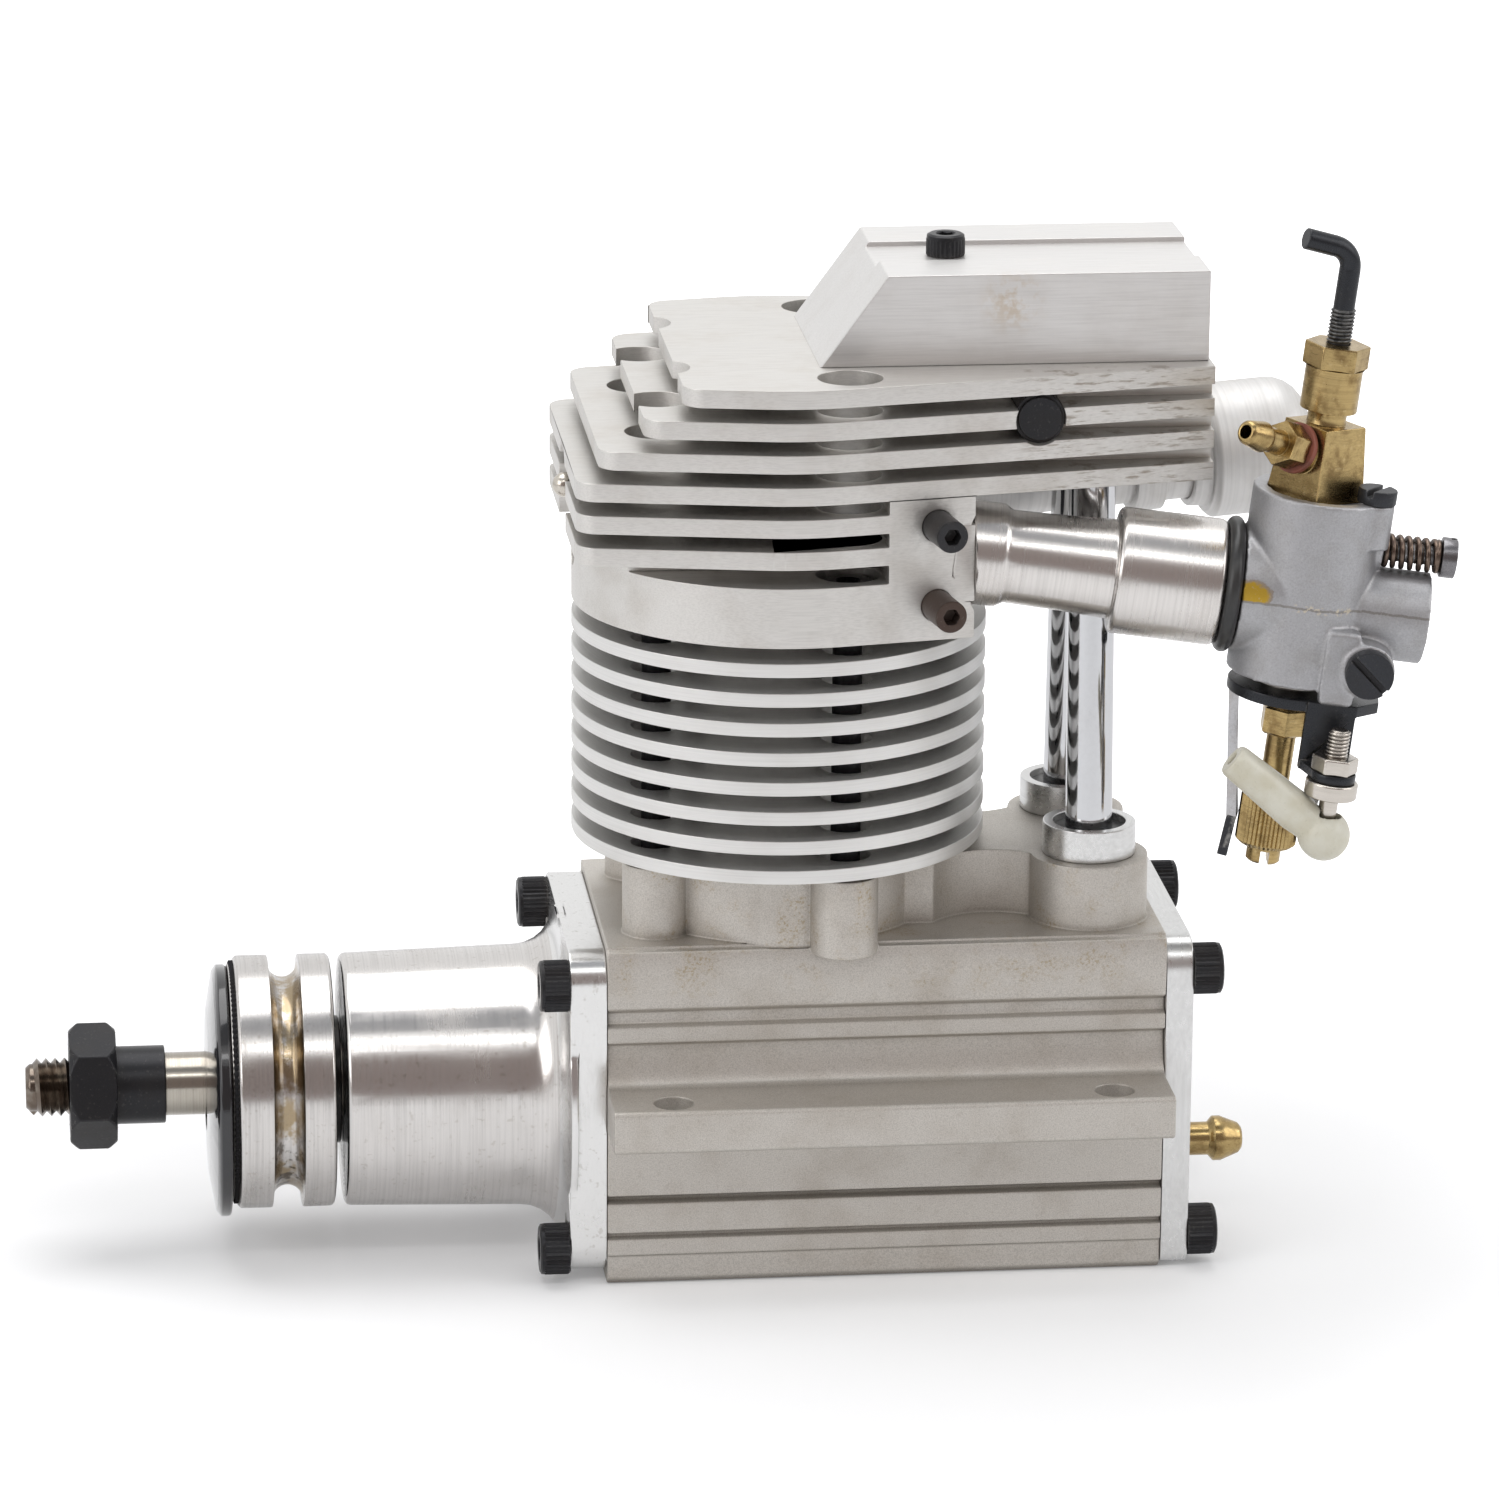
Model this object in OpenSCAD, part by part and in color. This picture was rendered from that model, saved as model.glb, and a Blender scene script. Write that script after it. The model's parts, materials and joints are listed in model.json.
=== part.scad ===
// Single-cylinder overhead-valve four-stroke model aircraft engine.
// X points from the propeller to the carburettor, Z up, Y across.
// The origin is on the flat bottom of the crankcase, under the cylinder.

/* [Crankcase] */
// Front face of the crankcase, measured from the cylinder axis
case_front = -25; // [-27:0.5:-23]
// Room behind the tappets, up to the rear face of the crankcase
rear_room = 9.3; // [9:0.1:11]
// Width of the crankcase without its mounting lugs
case_w = 42.6; // [42:0.2:46]
// Height of the crankcase from its bottom to its top face
case_h = 47.7; // [47:0.1:50]
// Height of the crankshaft above the bottom
axis_z = 23.4; // [23:0.1:25]
// Radius of the crank chamber
chamber_r = 18.8; // [18.4:0.1:19.2]
// Reach of each mounting lug from the middle plane
lug_reach = 31.5; // [30.5:0.5:36]
// Height of the top of the mounting lugs
lug_top = 28.2; // [27:0.2:29]
// Thickness of the mounting lugs
lug_t = 5.9; // [4:0.1:8]
// Diameter of the beam mounting holes
beam_hole_d = 5.3; // [4:0.1:5.5]
// Spacing of the beam mounting holes along the lugs
beam_hole_pitch = 59.5; // [54:0.5:62]
// Distance of the front beam holes behind the front face
beam_hole_inset = 8.3; // [6:0.1:10]
// Spacing of the beam mounting holes across the engine
beam_hole_span = 55.2; // [54.4:0.2:56]
// Height of the platform that carries the cylinder
deck_h = 9.9; // [9:0.1:11]
// Radius of the platform round the cylinder
deck_r = 20.6; // [20:0.1:20.8]
// Side of the square on which the end-cover screws lie
cover_screw_pitch = 37.4; // [36.4:0.2:37.8]
// Nominal diameter of the end-cover screws and head bolts
screw_d = 4; // [3.5:0.1:4]
// Length of an end-cover screw under its head
cover_screw_len = 14; // [12:1:18]

/* [Front housing] */
// Thickness of the front flange
flange_t = 5; // [4:0.1:6]
// Thickness of the rear cover
cover_t = 3.8; // [3:0.1:5]
// Corner radius of the front flange and rear cover
flange_corner = 4.4; // [3:0.1:5]
// Diameter of the nose at its front
nose_d = 34.5; // [33:0.1:36]
// Front end of the nose, measured from the cylinder axis
nose_front = -59.6; // [-61:0.1:-57]
// Radius of the fillet where the nose meets its flange
nose_fillet = 5.6; // [4:0.1:6.5]
// Outer diameter of the rear main bearing
rear_bearing_d = 24; // [22:0.1:26]
// Outer diameter of the front main bearing
front_bearing_d = 19; // [18:0.1:22]

/* [Crankshaft and propeller fittings] */
// Crank throw, half of the stroke
throw = 12; // [11:0.1:12.2]
// Diameter of the crank web
web_d = 33; // [30:0.1:34]
// Thickness of the crank web
web_t = 8; // [6:0.1:9]
// Diameter of the main journal
journal_d = 12; // [11:0.1:13]
// Diameter of the shaft through the nose
shaft_d = 10; // [9:0.1:10.5]
// Diameter of the shank that carries the propeller
shank_d = 8.6; // [8.2:0.1:9]
// Diameter of the propeller thread
thread_d = 8; // [7:0.1:8]
// Front end of the shaft
shaft_tip = -102.5; // [-106:0.5:-101]
// Length of the propeller driver
driver_len = 13.1; // [12:0.1:14]
// Gap between the nose and the propeller driver
driver_gap = 1.4; // [1:0.1:2]
// Diameter of the boss behind the driver
driver_boss_d = 17.4; // [16:0.2:18.4]
// Thickness of the propeller washer at its rim
washer_t = 2; // [1.5:0.1:3]
// Width across the flats of the propeller nut
nut_af = 15; // [14:0.1:16]
// Length of the hexagon of the propeller nut
nut_len = 6.4; // [5:0.1:7]
// Diameter of the collar of the propeller nut
nut_collar_d = 10.6; // [10:0.1:12]
// Turn of the propeller nut about the shaft
nut_turn = 16; // [0:1:60]

/* [Piston and rod] */
// Bore of the cylinder liner
bore_d = 28; // [27.6:0.1:28.2]
// Wall of the cylinder liner
liner_wall = 1.6; // [1.3:0.1:1.7]
// Distance between the eyes of the connecting rod
rod_len = 44.8; // [44:0.1:46]
// Height of the piston crown above its pin
crown_h = 7.7; // [7:0.1:8]
// Length of the piston
piston_len = 21; // [19:0.5:21.5]
// Diameter of the wrist pin
wrist_pin_d = 6; // [5:0.1:6.5]
// Outer radius of the big end of the connecting rod
big_end_r = 5.2; // [5:0.1:5.4]

/* [Cylinder fins] */
// Radius of the cooling fins
fin_r = 28; // [26.5:0.5:29]
// Thickness of a cooling fin
fin_t = 1.91; // [1.6:0.05:2.1]
// Spacing of the cooling fins
fin_pitch = 4.063; // [4:0.02:4.08]
// Number of cooling fins
fin_count = 8; // [6:1:8]
// Radius of the cylinder between its fins
barrel_r = 17.5; // [17.3:0.1:18.2]
// Radius of the circle of head bolts
bolt_circle_r = 22; // [21.8:0.1:22.2]

/* [Cylinder head] */
// Gap between the top fin and the head
head_gap = 2.05; // [1.8:0.05:2.5]
// Height of the solid lower part of the head
head_solid_h = 8.15; // [8:0.05:8.6]
// Thickness of a head plate
plate_t = 2.5; // [2.2:0.05:2.8]
// Spacing of the head plates
plate_pitch = 4.33; // [4.3:0.01:4.36]
// Rear end of the four upper plates
plate_rear = 55.7; // [55:0.1:57]
// Half width of the upper plates at their rear end
plate_rear_w = 18.2; // [17.8:0.1:18.8]
// Rear face of the lower part of the head, where the pipes enter
port_face_x = 23.2; // [22.8:0.1:23.6]
// Half width of the rocker box inside
box_in_w = 13.2; // [13:0.1:13.6]
// Half width of the rocker box outside
box_out_w = 15.9; // [15.7:0.1:16.1]
// Diameter of the bolt recesses through the plates
recess_d = 8.6; // [8.2:0.1:8.8]

/* [Rocker cover] */
// Height of the rocker cover
cover_h = 12.2; // [11:0.1:14]
// Half width of the rocker cover
cover_w = 15.3; // [15:0.1:15.6]
// Front edge of the rocker cover at its bottom
cover_front = 3.5; // [3:0.1:4]
// Front edge of the rocker cover at its top
cover_top_front = 12.4; // [11:0.1:13]
// Rear face of the rocker cover
cover_rear = 55.3; // [54.8:0.1:55.6]
// Wall of the rocker cover
cover_wall = 1.7; // [1.4:0.1:1.9]

/* [Valve train] */
// Distance of each valve and rocker from the middle plane
valve_y = 6.4; // [6.3:0.05:6.6]
// Tilt of the valves towards the rear
valve_tilt = 25; // [24:0.5:26]
// Length of a valve
valve_len = 29; // [28.6:0.1:29.2]
// Radius of a valve head
valve_r = 5.2; // [5:0.05:5.3]
// Diameter of a valve stem
stem_d = 3; // [2.6:0.1:3.1]
// Rocker shaft, distance behind the cylinder axis
rocker_x = 31.9; // [31.7:0.1:32.1]
// Height of the rocker shaft above the underside of the head
rocker_rise = 28.9; // [28.7:0.1:29.1]
// Diameter of the rocker shaft
rocker_shaft_d = 5; // [4.5:0.1:5.2]
// Tappet, distance behind the cylinder axis
tappet_x = 41.3; // [41:0.1:41.6]
// Distance of each tappet from the middle plane
tappet_y = 10.6; // [10.5:0.05:10.7]
// Diameter of a tappet stem
tappet_d = 6; // [5.5:0.1:6.2]
// Outer diameter of a pushrod tube
tube_d = 6.35; // [6.2:0.05:6.4]
// Diameter of a pushrod
pushrod_d = 3; // [2.8:0.1:3.1]
// Radius of the bosses that carry the tappets
tappet_boss_r = 8; // [7.8:0.1:8.2]
// Module of the cam gears
gear_module = 0.58; // [0.57:0.005:0.59]
// Teeth of the pinion on the timing shaft, half as many as on a cam gear
pinion_teeth = 14; // [14:1:14]
// Lift of a cam
cam_lift = 2; // [1.6:0.1:2.1]

/* [Intake and exhaust] */
// Distance of the pipes from the middle plane at the head
port_y = 18.5; // [18.3:0.1:18.8]
// Height of the intake above the underside of the head
port_rise = 10.15; // [10:0.05:10.5]
// Downward slope of the intake pipe
intake_pitch = 7; // [6:0.1:7.4]
// Upward slope of the exhaust pipe
exhaust_pitch = 3.3; // [2.5:0.1:4]
// Outward slope of both pipes
pipe_yaw = 6; // [5.5:0.1:6.5]
// Diameter of the large sleeve of the intake pipe
sleeve_d = 16.9; // [16.5:0.1:17.1]
// Front end of the large sleeve, measured along the pipe
sleeve_front = 18.4; // [17.6:0.1:19]
// Rear end of the large sleeve, measured along the pipe
sleeve_rear = 32.8; // [32.4:0.1:33]
// Radius of the pipes behind the head
neck_r = 6.2; // [6:0.1:6.4]
// Length of the exhaust pipe
header_len = 36; // [34:0.5:38]
// Diameter of the silencer
silencer_d = 18.6; // [17:0.1:20]
// Length of the silencer
silencer_len = 15; // [13:0.5:18]

/* [Carburettor] */
// Distance of the throttle barrel from the head along the pipe
barrel_x = 44; // [43.8:0.1:44.4]
// Outer diameter of the carburettor body
carb_d = 17.6; // [17.2:0.1:18.4]
// Diameter of the throttle barrel
throttle_d = 13; // [12.5:0.1:13.5]
// Diameter of the bore that the air passes through
choke_d = 9; // [8:0.1:9.4]
// Thickness of the throttle arm
arm_t = 1.5; // [1.2:0.1:1.6]
// Diameter of the main needle
needle_d = 2.85; // [2.6:0.05:3]
// Diameter of the knurled idle knob
knob_d = 8.2; // [7.6:0.1:8.4]

/* [Hidden] */
$fn = 64;

// Clearances: running fits, fixed fits and the free gap between bodies
run = 0.04;
fit = 0.02;
free_gap = 0.3;

// Heights that stack up from the crankcase bottom
case_rear = tappet_x + rear_room;
case_len = case_rear - case_front;
half_w = case_w / 2;
deck_z = case_h + deck_h;
fin_bottom = deck_z + 0.75;
fin_top = fin_bottom + fin_t + (fin_count - 1) * fin_pitch;
head_z = fin_top + head_gap;
head_top = head_z + head_solid_h + 2.45 + plate_t + 5 * plate_pitch;
liner_r = bore_d / 2 + liner_wall;
screw_r = screw_d / 2;
screw_head_r = 1.75 * screw_r;
plate_low = 1.3;
cover_low = 2.4;
plate_high = case_h - 1;

// Breather nipple, low on the rear cover
breather_y = -5;
breather_z = 12.8;

// Moving gear: places at rest, with the piston at its highest
crank_pin_z = axis_z + throw;
wrist_z = crank_pin_z + rod_len;
rod_w = 7.2;
small_end_r = 4.5;
web_back = -6;
cam_teeth = 2 * pinion_teeth;
gear_reach = gear_module * (pinion_teeth + cam_teeth) / 2;
cam_z = axis_z + sqrt(gear_reach * gear_reach - tappet_y * tappet_y);
cam_base_r = 3.6;
cam_nose_r = cam_base_r + cam_lift;
gear_x = tappet_x + 4.7;
gear_w = 3;
cam_front = tappet_x - 13.9;
cam_pin_r = 1.5;
pin_front = cam_front - 3.8;
tappet_foot_z = cam_z + cam_nose_r + free_gap;
tappet_foot_r = 4.2;
tappet_top = case_h + 5.3;
ball_r = 1.4;
socket_r = ball_r + free_gap;
collar_h = 4.4;
boss_top = case_h + 8.9;

// Valve train places
rocker_z = head_z + rocker_rise;
rocker_arm = 14.7;
tip_x = rocker_x - rocker_arm;
tip_z = rocker_z + 0.6;
rod_top_z = rocker_z - 1;
lean = atan((tappet_y - valve_y) / (rod_top_z - tappet_top));
gallery_z = head_top - 3 * plate_pitch - 0.02;
overhang_z = gallery_z - plate_t;
port_z = head_z + port_rise;
exhaust_z = port_z + 0.6;
chamber_h = 3.4;
bolt_seat = head_z + 3.3;

// Shaft places; driver and washer are flush with the nose
driver_d = nose_d;
washer_d = driver_d - 0.1;
washer_bore_r = nut_collar_d / 2 + 0.15;
washer_drop = washer_bore_r - shank_d / 2 - 0.02;
thread_core_r = thread_d / 2 - 0.6;
driver_rear = nose_front - driver_gap;
driver_front = driver_rear - driver_len;
shank_front = driver_front - 9.5;
nut_front = shank_front - 13;

// Frames that several pieces share

module on_side(side) {
    mirror([0, side > 0 ? 1 : 0, 0]) children();
}

module carb_frame() {
    translate([port_face_x + 0.8, -port_y, port_z]) rotate([0, intake_pitch, -pipe_yaw]) children();
}

module exhaust_frame() {
    translate([port_face_x, port_y, exhaust_z]) rotate([0, -exhaust_pitch, pipe_yaw]) children();
}

module barrel_frame() {
    carb_frame() translate([barrel_x, 0, 0]) children();
}

// Valve axis of the near side: origin on the stem tip, Z down the stem
module valve_frame() {
    translate([tip_x, -valve_y, tip_z]) rotate([0, 180 + valve_tilt, 0]) children();
}

// Pushrod axis of the near side: origin on the lower ball, Z up the rod
module pushrod_frame() {
    translate([tappet_x, -tappet_y, tappet_top + 0.2]) rotate([-lean, 0, 0]) children();
}

module along_x(x, r, len) {
    translate([x, 0, 0]) rotate([0, 90, 0]) cylinder(r = r, h = len);
}

module on_axis() {
    translate([0, 0, axis_z]) children();
}

module bolt_places(from = 0) {
    for (b = [from:4]) translate([bolt_circle_r * cos(72 * b), bolt_circle_r * sin(72 * b), 0])
        children();
}

module bore_between(p, q, r) {
    d = q - p;
    len = norm(d);
    translate(p) rotate([0, acos(d[2] / len), atan2(d[1], d[0])]) cylinder(r = r, h = len);
}

// A revolved profile of [x, radius] points about the X axis
module lathe_x(points) {
    rotate([0, 90, 0]) rotate_extrude() polygon([for (p = points) [p[1], p[0]]]);
}

module cap_screw(head_r, head_h, r, len, socket) {
    difference() {
        union() {
            cylinder(r = head_r, h = head_h - 0.3);
            translate([0, 0, head_h - 0.3]) cylinder(r = head_r - 0.3, h = 0.3);
            translate([0, 0, -len]) cylinder(r = r, h = len);
        }
        translate([0, 0, head_h - 0.55 * head_h]) cylinder(d = socket, h = head_h, $fn = 6);
    }
}

module slotted_screw(head_r, head_h, r, len) {
    difference() {
        union() {
            cylinder(r = head_r, h = head_h);
            translate([0, 0, -len]) cylinder(r = r, h = len);
        }
        translate([-head_r - 1, -0.4, head_h - 0.9]) cube([2 * head_r + 2, 0.8, 2]);
    }
}

// A round wire wound in a helix about Z
module coil(mean_r, wire_r, turns, len) {
    steps = 16;
    sides = 6;
    n = turns * steps;
    ring = [for (i = [0:n]) let (a = 360 * i / steps)
        for (k = [0:sides - 1]) let (b = 360 * k / sides, r = mean_r + wire_r * cos(b))
            [r * cos(a), r * sin(a), wire_r + (len - 2 * wire_r) * i / n + wire_r * sin(b)]];
    skin = [for (i = [0:n - 1]) for (k = [0:sides - 1])
        let (a = i * sides + k, b = i * sides + (k + 1) % sides) [a, b, b + sides, a + sides]];
    polyhedron(points = ring, faces = concat([for (f = skin) [f[3], f[2], f[1], f[0]]],
        [[for (k = [0:sides - 1]) k]], [[for (k = [0:sides - 1]) n * sides + sides - 1 - k]]));
}

// Crankcase

groove_d = 1.2;
case_side = [
    [half_w - 1.2, 0], [half_w - 0.4, 0.9], [half_w - 0.4, 4.1], [half_w, 4.3], [half_w, 6.6],
    [half_w - 0.9, 6.8], [half_w - 0.9, 7.3], [half_w, 7.5], [half_w, 11.7],
    [half_w - groove_d, 12], [half_w - groove_d, 12.5], [half_w, 12.8],
    [half_w, lug_top - lug_t - 0.6], [half_w + 0.6, lug_top - lug_t],
    [lug_reach - 0.4, lug_top - lug_t], [lug_reach, lug_top - lug_t + 0.4],
    [lug_reach, lug_top - 0.4], [lug_reach - 0.4, lug_top], [half_w + 1, lug_top],
    [half_w, lug_top + 0.5], [half_w - 0.6, lug_top + 1.6], [half_w - groove_d, lug_top + 3.6],
    [half_w - groove_d, lug_top + 5.8], [half_w, lug_top + 6.3], [half_w, lug_top + 8.5],
    [half_w - groove_d, lug_top + 8.8], [half_w - groove_d, lug_top + 10.4],
    [half_w, lug_top + 11], [half_w + 0.2, lug_top + 13.6], [half_w, case_h - 2.4],
    [half_w - 0.5, case_h - 0.5], [half_w - 1.3, case_h - 0.4], [half_w - 1.3, case_h]];

module case_section() {
    n = len(case_side);
    polygon(concat(case_side, [for (i = [n - 1:-1:0]) [-case_side[i][0], case_side[i][1]]]));
}

module deck() {
    web_w = 13;
    scoop_r = 9.5;
    bolt_places() translate([0, 0, case_h - 1]) cylinder(r = 4.5, h = deck_h + 1);
    translate([0, 0, case_h - 1]) cylinder(r = deck_r, h = deck_h + 1);
    difference() {
        translate([0, -web_w, case_h - 1]) cube([tappet_x, 2 * web_w, 9.9]);
        for (s = [-1, 1]) translate([27.6, s * 18.4, case_h]) cylinder(r = scoop_r, h = deck_h + 2);
    }
    for (s = [-1, 1]) translate([tappet_x, s * tappet_y, case_h - 1])
        cylinder(r = tappet_boss_r, h = boss_top - case_h + 1);
}

module corner_holes(x, len, r) {
    on_axis() for (y = [-1, 1]) for (z = [-1, 1])
        translate([0, y * cover_screw_pitch / 2, z * cover_screw_pitch / 2]) along_x(x, r, len);
}

module crankcase() {
    color([0.68, 0.66, 0.63]) difference() {
        union() {
            translate([case_front, 0, 0]) rotate([90, 0, 90])
                linear_extrude(height = case_len) case_section();
            deck();
        }
        on_axis() along_x(case_front - 1, chamber_r, cam_front - case_front - 9.4);
        translate([-4.8, -chamber_r, 4.4]) cube([9.6, 2 * chamber_r, 39]);
        translate([0, 0, axis_z]) cylinder(r = liner_r + fit, h = 60);
        on_axis() along_x(0, 3.5 + run, case_len);
        on_axis() along_x(cam_front - 0.4, 8, case_len);
        for (s = [-1, 1]) translate([0, s * tappet_y, 0]) {
            translate([0, 0, cam_z]) along_x(cam_front - 0.4, 9, case_len);
            translate([0, 0, cam_z]) along_x(pin_front - 0.1, cam_pin_r + fit, 10);
            translate([tappet_x, 0, cam_z]) cylinder(r = tappet_foot_r + free_gap, h = 10.8);
            translate([tappet_x, 0, cam_z]) cylinder(r = tappet_d / 2 + run, h = 40);
        }
        bolt_places() translate([0, 0, case_h]) cylinder(r = screw_r + fit, h = 20);
        translate([0, breather_y, breather_z]) along_x(case_rear - 6, 1.6, 10);
        translate([case_rear - 4.4, breather_y, breather_z]) cylinder(r = 1.6, h = 8);
        corner_holes(case_front - 1, cover_screw_len - flange_t + 2, screw_r + fit);
        corner_holes(case_rear - 11, 20, screw_r + fit);
        for (x = [0, beam_hole_pitch]) for (y = [-0.5, 0.5])
            translate([case_front + beam_hole_inset + x, y * beam_hole_span, 0])
                cylinder(d = beam_hole_d, h = case_h);
    }
}

module flange_plate(x, t, low, high) {
    w = half_w - 0.1;
    r = flange_corner;
    translate([x, 0, 0]) rotate([90, 0, 90]) linear_extrude(height = t) union() {
        translate([-w, low + r]) square([2 * w, high - low - 2 * r]);
        translate([-w + r, low]) square([2 * w - 2 * r, high - low]);
        for (y = [-1, 1]) for (z = [low + r, high - r]) translate([y * (w - r), z]) circle(r = r);
    }
}

module front_housing() {
    front = nose_front;
    root = case_front - flange_t;
    r1 = nose_d / 2;
    r2 = r1 + 0.6;
    fr = nose_fillet;
    fillet = [for (a = [90:-15:0]) [root - fr + fr * cos(a) + 0.01, r2 + fr - fr * sin(a)]];
    color([0.82, 0.82, 0.81]) difference() {
        union() {
            flange_plate(root, flange_t, plate_low, plate_high);
            on_axis() lathe_x(concat([[front, 0], [front, r1 - 0.5], [front + 0.5, r1]],
                fillet, [[root + 1, r2 + fr], [root + 1, 0]]));
            on_axis() along_x(root + 1, chamber_r - fit, 14);
        }
        on_axis() along_x(front - 1, shaft_d / 2 + 0.5, 60);
        on_axis() along_x(front + 1.5, front_bearing_d / 2 + fit, 5);
        on_axis() along_x(front + 6.4, 7.5, root - front + 1);
        on_axis() along_x(-23.2, rear_bearing_d / 2 + fit, 20);
        corner_holes(root - 1, flange_t + 3, screw_r + 0.1);
        corner_holes(root - 6, 6, screw_head_r + 0.1);
    }
}

module rear_cover() {
    color([0.82, 0.82, 0.81]) difference() {
        flange_plate(case_rear, cover_t, cover_low, plate_high);
        corner_holes(case_rear - 1, cover_t + 3, screw_r + 0.1);
        translate([0, breather_y, breather_z]) along_x(case_rear - 1, 1.8 + fit, cover_t + 2);
    }
}

module breather_nipple() {
    x = case_rear + cover_t;
    color([0.72, 0.55, 0.25]) translate([0, breather_y, breather_z]) lathe_x([[x - 3.4, 0.9],
        [x - 3.4, 1.8], [x + 0.02, 1.8], [x + 0.02, 3.2], [x + 1.1, 3.2], [x + 1.1, 2.3],
        [x + 5.2, 2.3], [x + 5.9, 3.1], [x + 6.9, 3.1], [x + 9.4, 2.1], [x + 9.9, 1.5],
        [x + 9.9, 0.9]]);
}

module crankcase_screws() {
    color([0.13, 0.13, 0.14]) on_axis() {
        for (y = [-1, 1]) for (z = [-1, 1]) {
            translate([case_front - flange_t, y * cover_screw_pitch / 2, z * cover_screw_pitch / 2])
                rotate([0, -90, 0]) cap_screw(screw_head_r, screw_d, screw_r, cover_screw_len, 3.4);
            translate([case_rear + cover_t, y * cover_screw_pitch / 2, z * cover_screw_pitch / 2])
                rotate([0, 90, 0]) cap_screw(screw_head_r, screw_d, screw_r, cover_screw_len, 3.4);
        }
    }
}

module bearing(x, w, ro, ri) {
    on_axis() difference() {
        along_x(x, ro, w);
        along_x(x - 1, ri, w + 2);
        for (e = [x - 0.1, x + w - 0.5]) difference() {
            along_x(e, ri + 0.72 * (ro - ri), 0.6);
            along_x(e - 1, ri + 0.28 * (ro - ri), 3);
        }
    }
}

module main_bearings() {
    color([0.7, 0.71, 0.73]) {
        bearing(-23.2, 8, rear_bearing_d / 2, journal_d / 2 + run);
        bearing(nose_front + 1.5, 5, front_bearing_d / 2, shaft_d / 2 + run);
    }
}

// Crankshaft and what turns with it

module crank_web(x, t, r) {
    difference() {
        along_x(x, r, t);
        for (s = [-1, 1]) translate([x - 1, s * (r + 0.6), 7]) rotate([0, 90, 0])
            cylinder(r = r - 7, h = t + 2);
    }
}

module crankshaft() {
    pin_len = -web_back - rod_w / 2 - 0.5;
    relief_x = nut_front - 0.2;
    shoulder = web_back - web_t + 1;
    color([0.6, 0.58, 0.55]) on_axis() {
        crank_web(web_back - web_t, web_t, web_d / 2);
        translate([0, 0, throw]) along_x(web_back - 1, 3, pin_len + 1);
        lathe_x([[shaft_tip, 0], [shaft_tip, thread_d / 2 - 0.6], [shaft_tip + 0.6, thread_d / 2],
            [relief_x, thread_d / 2], [relief_x, thread_core_r], [shank_front, thread_core_r],
            [shank_front, shank_d / 2], [driver_front, shank_d / 2], [driver_front, shaft_d / 2],
            [case_front + 1, shaft_d / 2], [case_front + 1, journal_d / 2],
            [shoulder, journal_d / 2], [shoulder, 0]]);
    }
}

module prop_driver() {
    r = driver_d / 2;
    groove_r = 2.05;
    groove_x = driver_front + 6.75;
    color([0.8, 0.8, 0.79]) on_axis() difference() {
        lathe_x([[driver_front - 0.8, shank_d / 2 + 0.3], [driver_front - 0.8, r - 1.1],
            [driver_front, r - 0.9], [driver_front, r - 0.4],
            [driver_front + 0.4, r], [driver_rear - 0.4, r], [driver_rear, r - 0.4],
            [driver_rear, driver_boss_d / 2], [nose_front - free_gap, driver_boss_d / 2],
            [nose_front - free_gap, shaft_d / 2 + fit], [driver_front - fit, shaft_d / 2 + fit],
            [driver_front - fit, shank_d / 2 + 0.3]]);
        rotate([0, 90, 0]) translate([0, 0, groove_x]) rotate_extrude() union() {
            translate([r - 1, 0]) circle(r = groove_r);
            translate([r - 1, -groove_r]) square([3, 2 * groove_r]);
        }
    }
}

// The washer's bore clears the nut's collar, so it hangs on the thinner shank
module prop_washer() {
    r = washer_d / 2;
    back = driver_front - 0.9;
    color([0.13, 0.13, 0.14]) on_axis() translate([0, 0, -washer_drop])
        lathe_x([[back, washer_bore_r], [back, r - 0.3], [back - 0.3, r],
            [back - washer_t + 0.6, r], [back - washer_t, r - 0.8],
            [back - washer_t - 0.9, r - 6], [back - washer_t - 1.1, washer_bore_r]]);
}

module prop_nut() {
    rc = nut_collar_d / 2;
    chamfer = 1.3;
    chamfer_r = nut_af / 2 + 0.1;
    color([0.13, 0.13, 0.14]) on_axis() difference() {
        union() {
            along_x(nut_front + 1, rc, 12);
            intersection() {
                translate([nut_front, 0, 0]) rotate([-nut_turn, 0, 0]) rotate([0, 90, 0])
                    cylinder(d = nut_af / cos(30), h = nut_len, $fn = 6);
                lathe_x([[nut_front, 0], [nut_front, chamfer_r],
                    [nut_front + chamfer, nut_af / 2 + 1.2],
                    [nut_front + nut_len - chamfer, nut_af / 2 + 1.2],
                    [nut_front + nut_len, chamfer_r], [nut_front + nut_len, 0]]);
            }
        }
        along_x(nut_front - 1, thread_core_r + fit, 20);
    }
}

// Timing drive

// Outline of a spur gear with straight-sided teeth and generous backlash
module gear_outline(teeth) {
    pitch_r = gear_module * teeth / 2;
    tip_r = pitch_r + 0.8 * gear_module;
    root_r = pitch_r - 1.1 * gear_module;
    step = 360 / teeth;
    polygon([for (i = [0:teeth - 1]) for (p = [[-0.34, root_r], [-0.11, tip_r], [0.11, tip_r],
        [0.34, root_r]]) [p[1] * cos(step * (i + p[0])), p[1] * sin(step * (i + p[0]))]]);
}

module timing_shaft() {
    disc_x = rod_w / 2 + 0.6;
    color([0.62, 0.6, 0.57]) on_axis() {
        difference() {
            along_x(disc_x, throw + 3.4, 3);
            translate([0, 0, throw]) along_x(disc_x - 1, 3.1, 5);
            for (s = [-1, 1]) translate([disc_x - 1, s * (throw + 1), 2]) rotate([0, 90, 0])
                cylinder(r = 6, h = 5);
        }
        along_x(disc_x + 1, 3.5, gear_x - disc_x + 2);
        translate([gear_x, 0, 0]) rotate([90, 0, 90]) linear_extrude(height = gear_w)
            gear_outline(pinion_teeth);
    }
}

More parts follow.
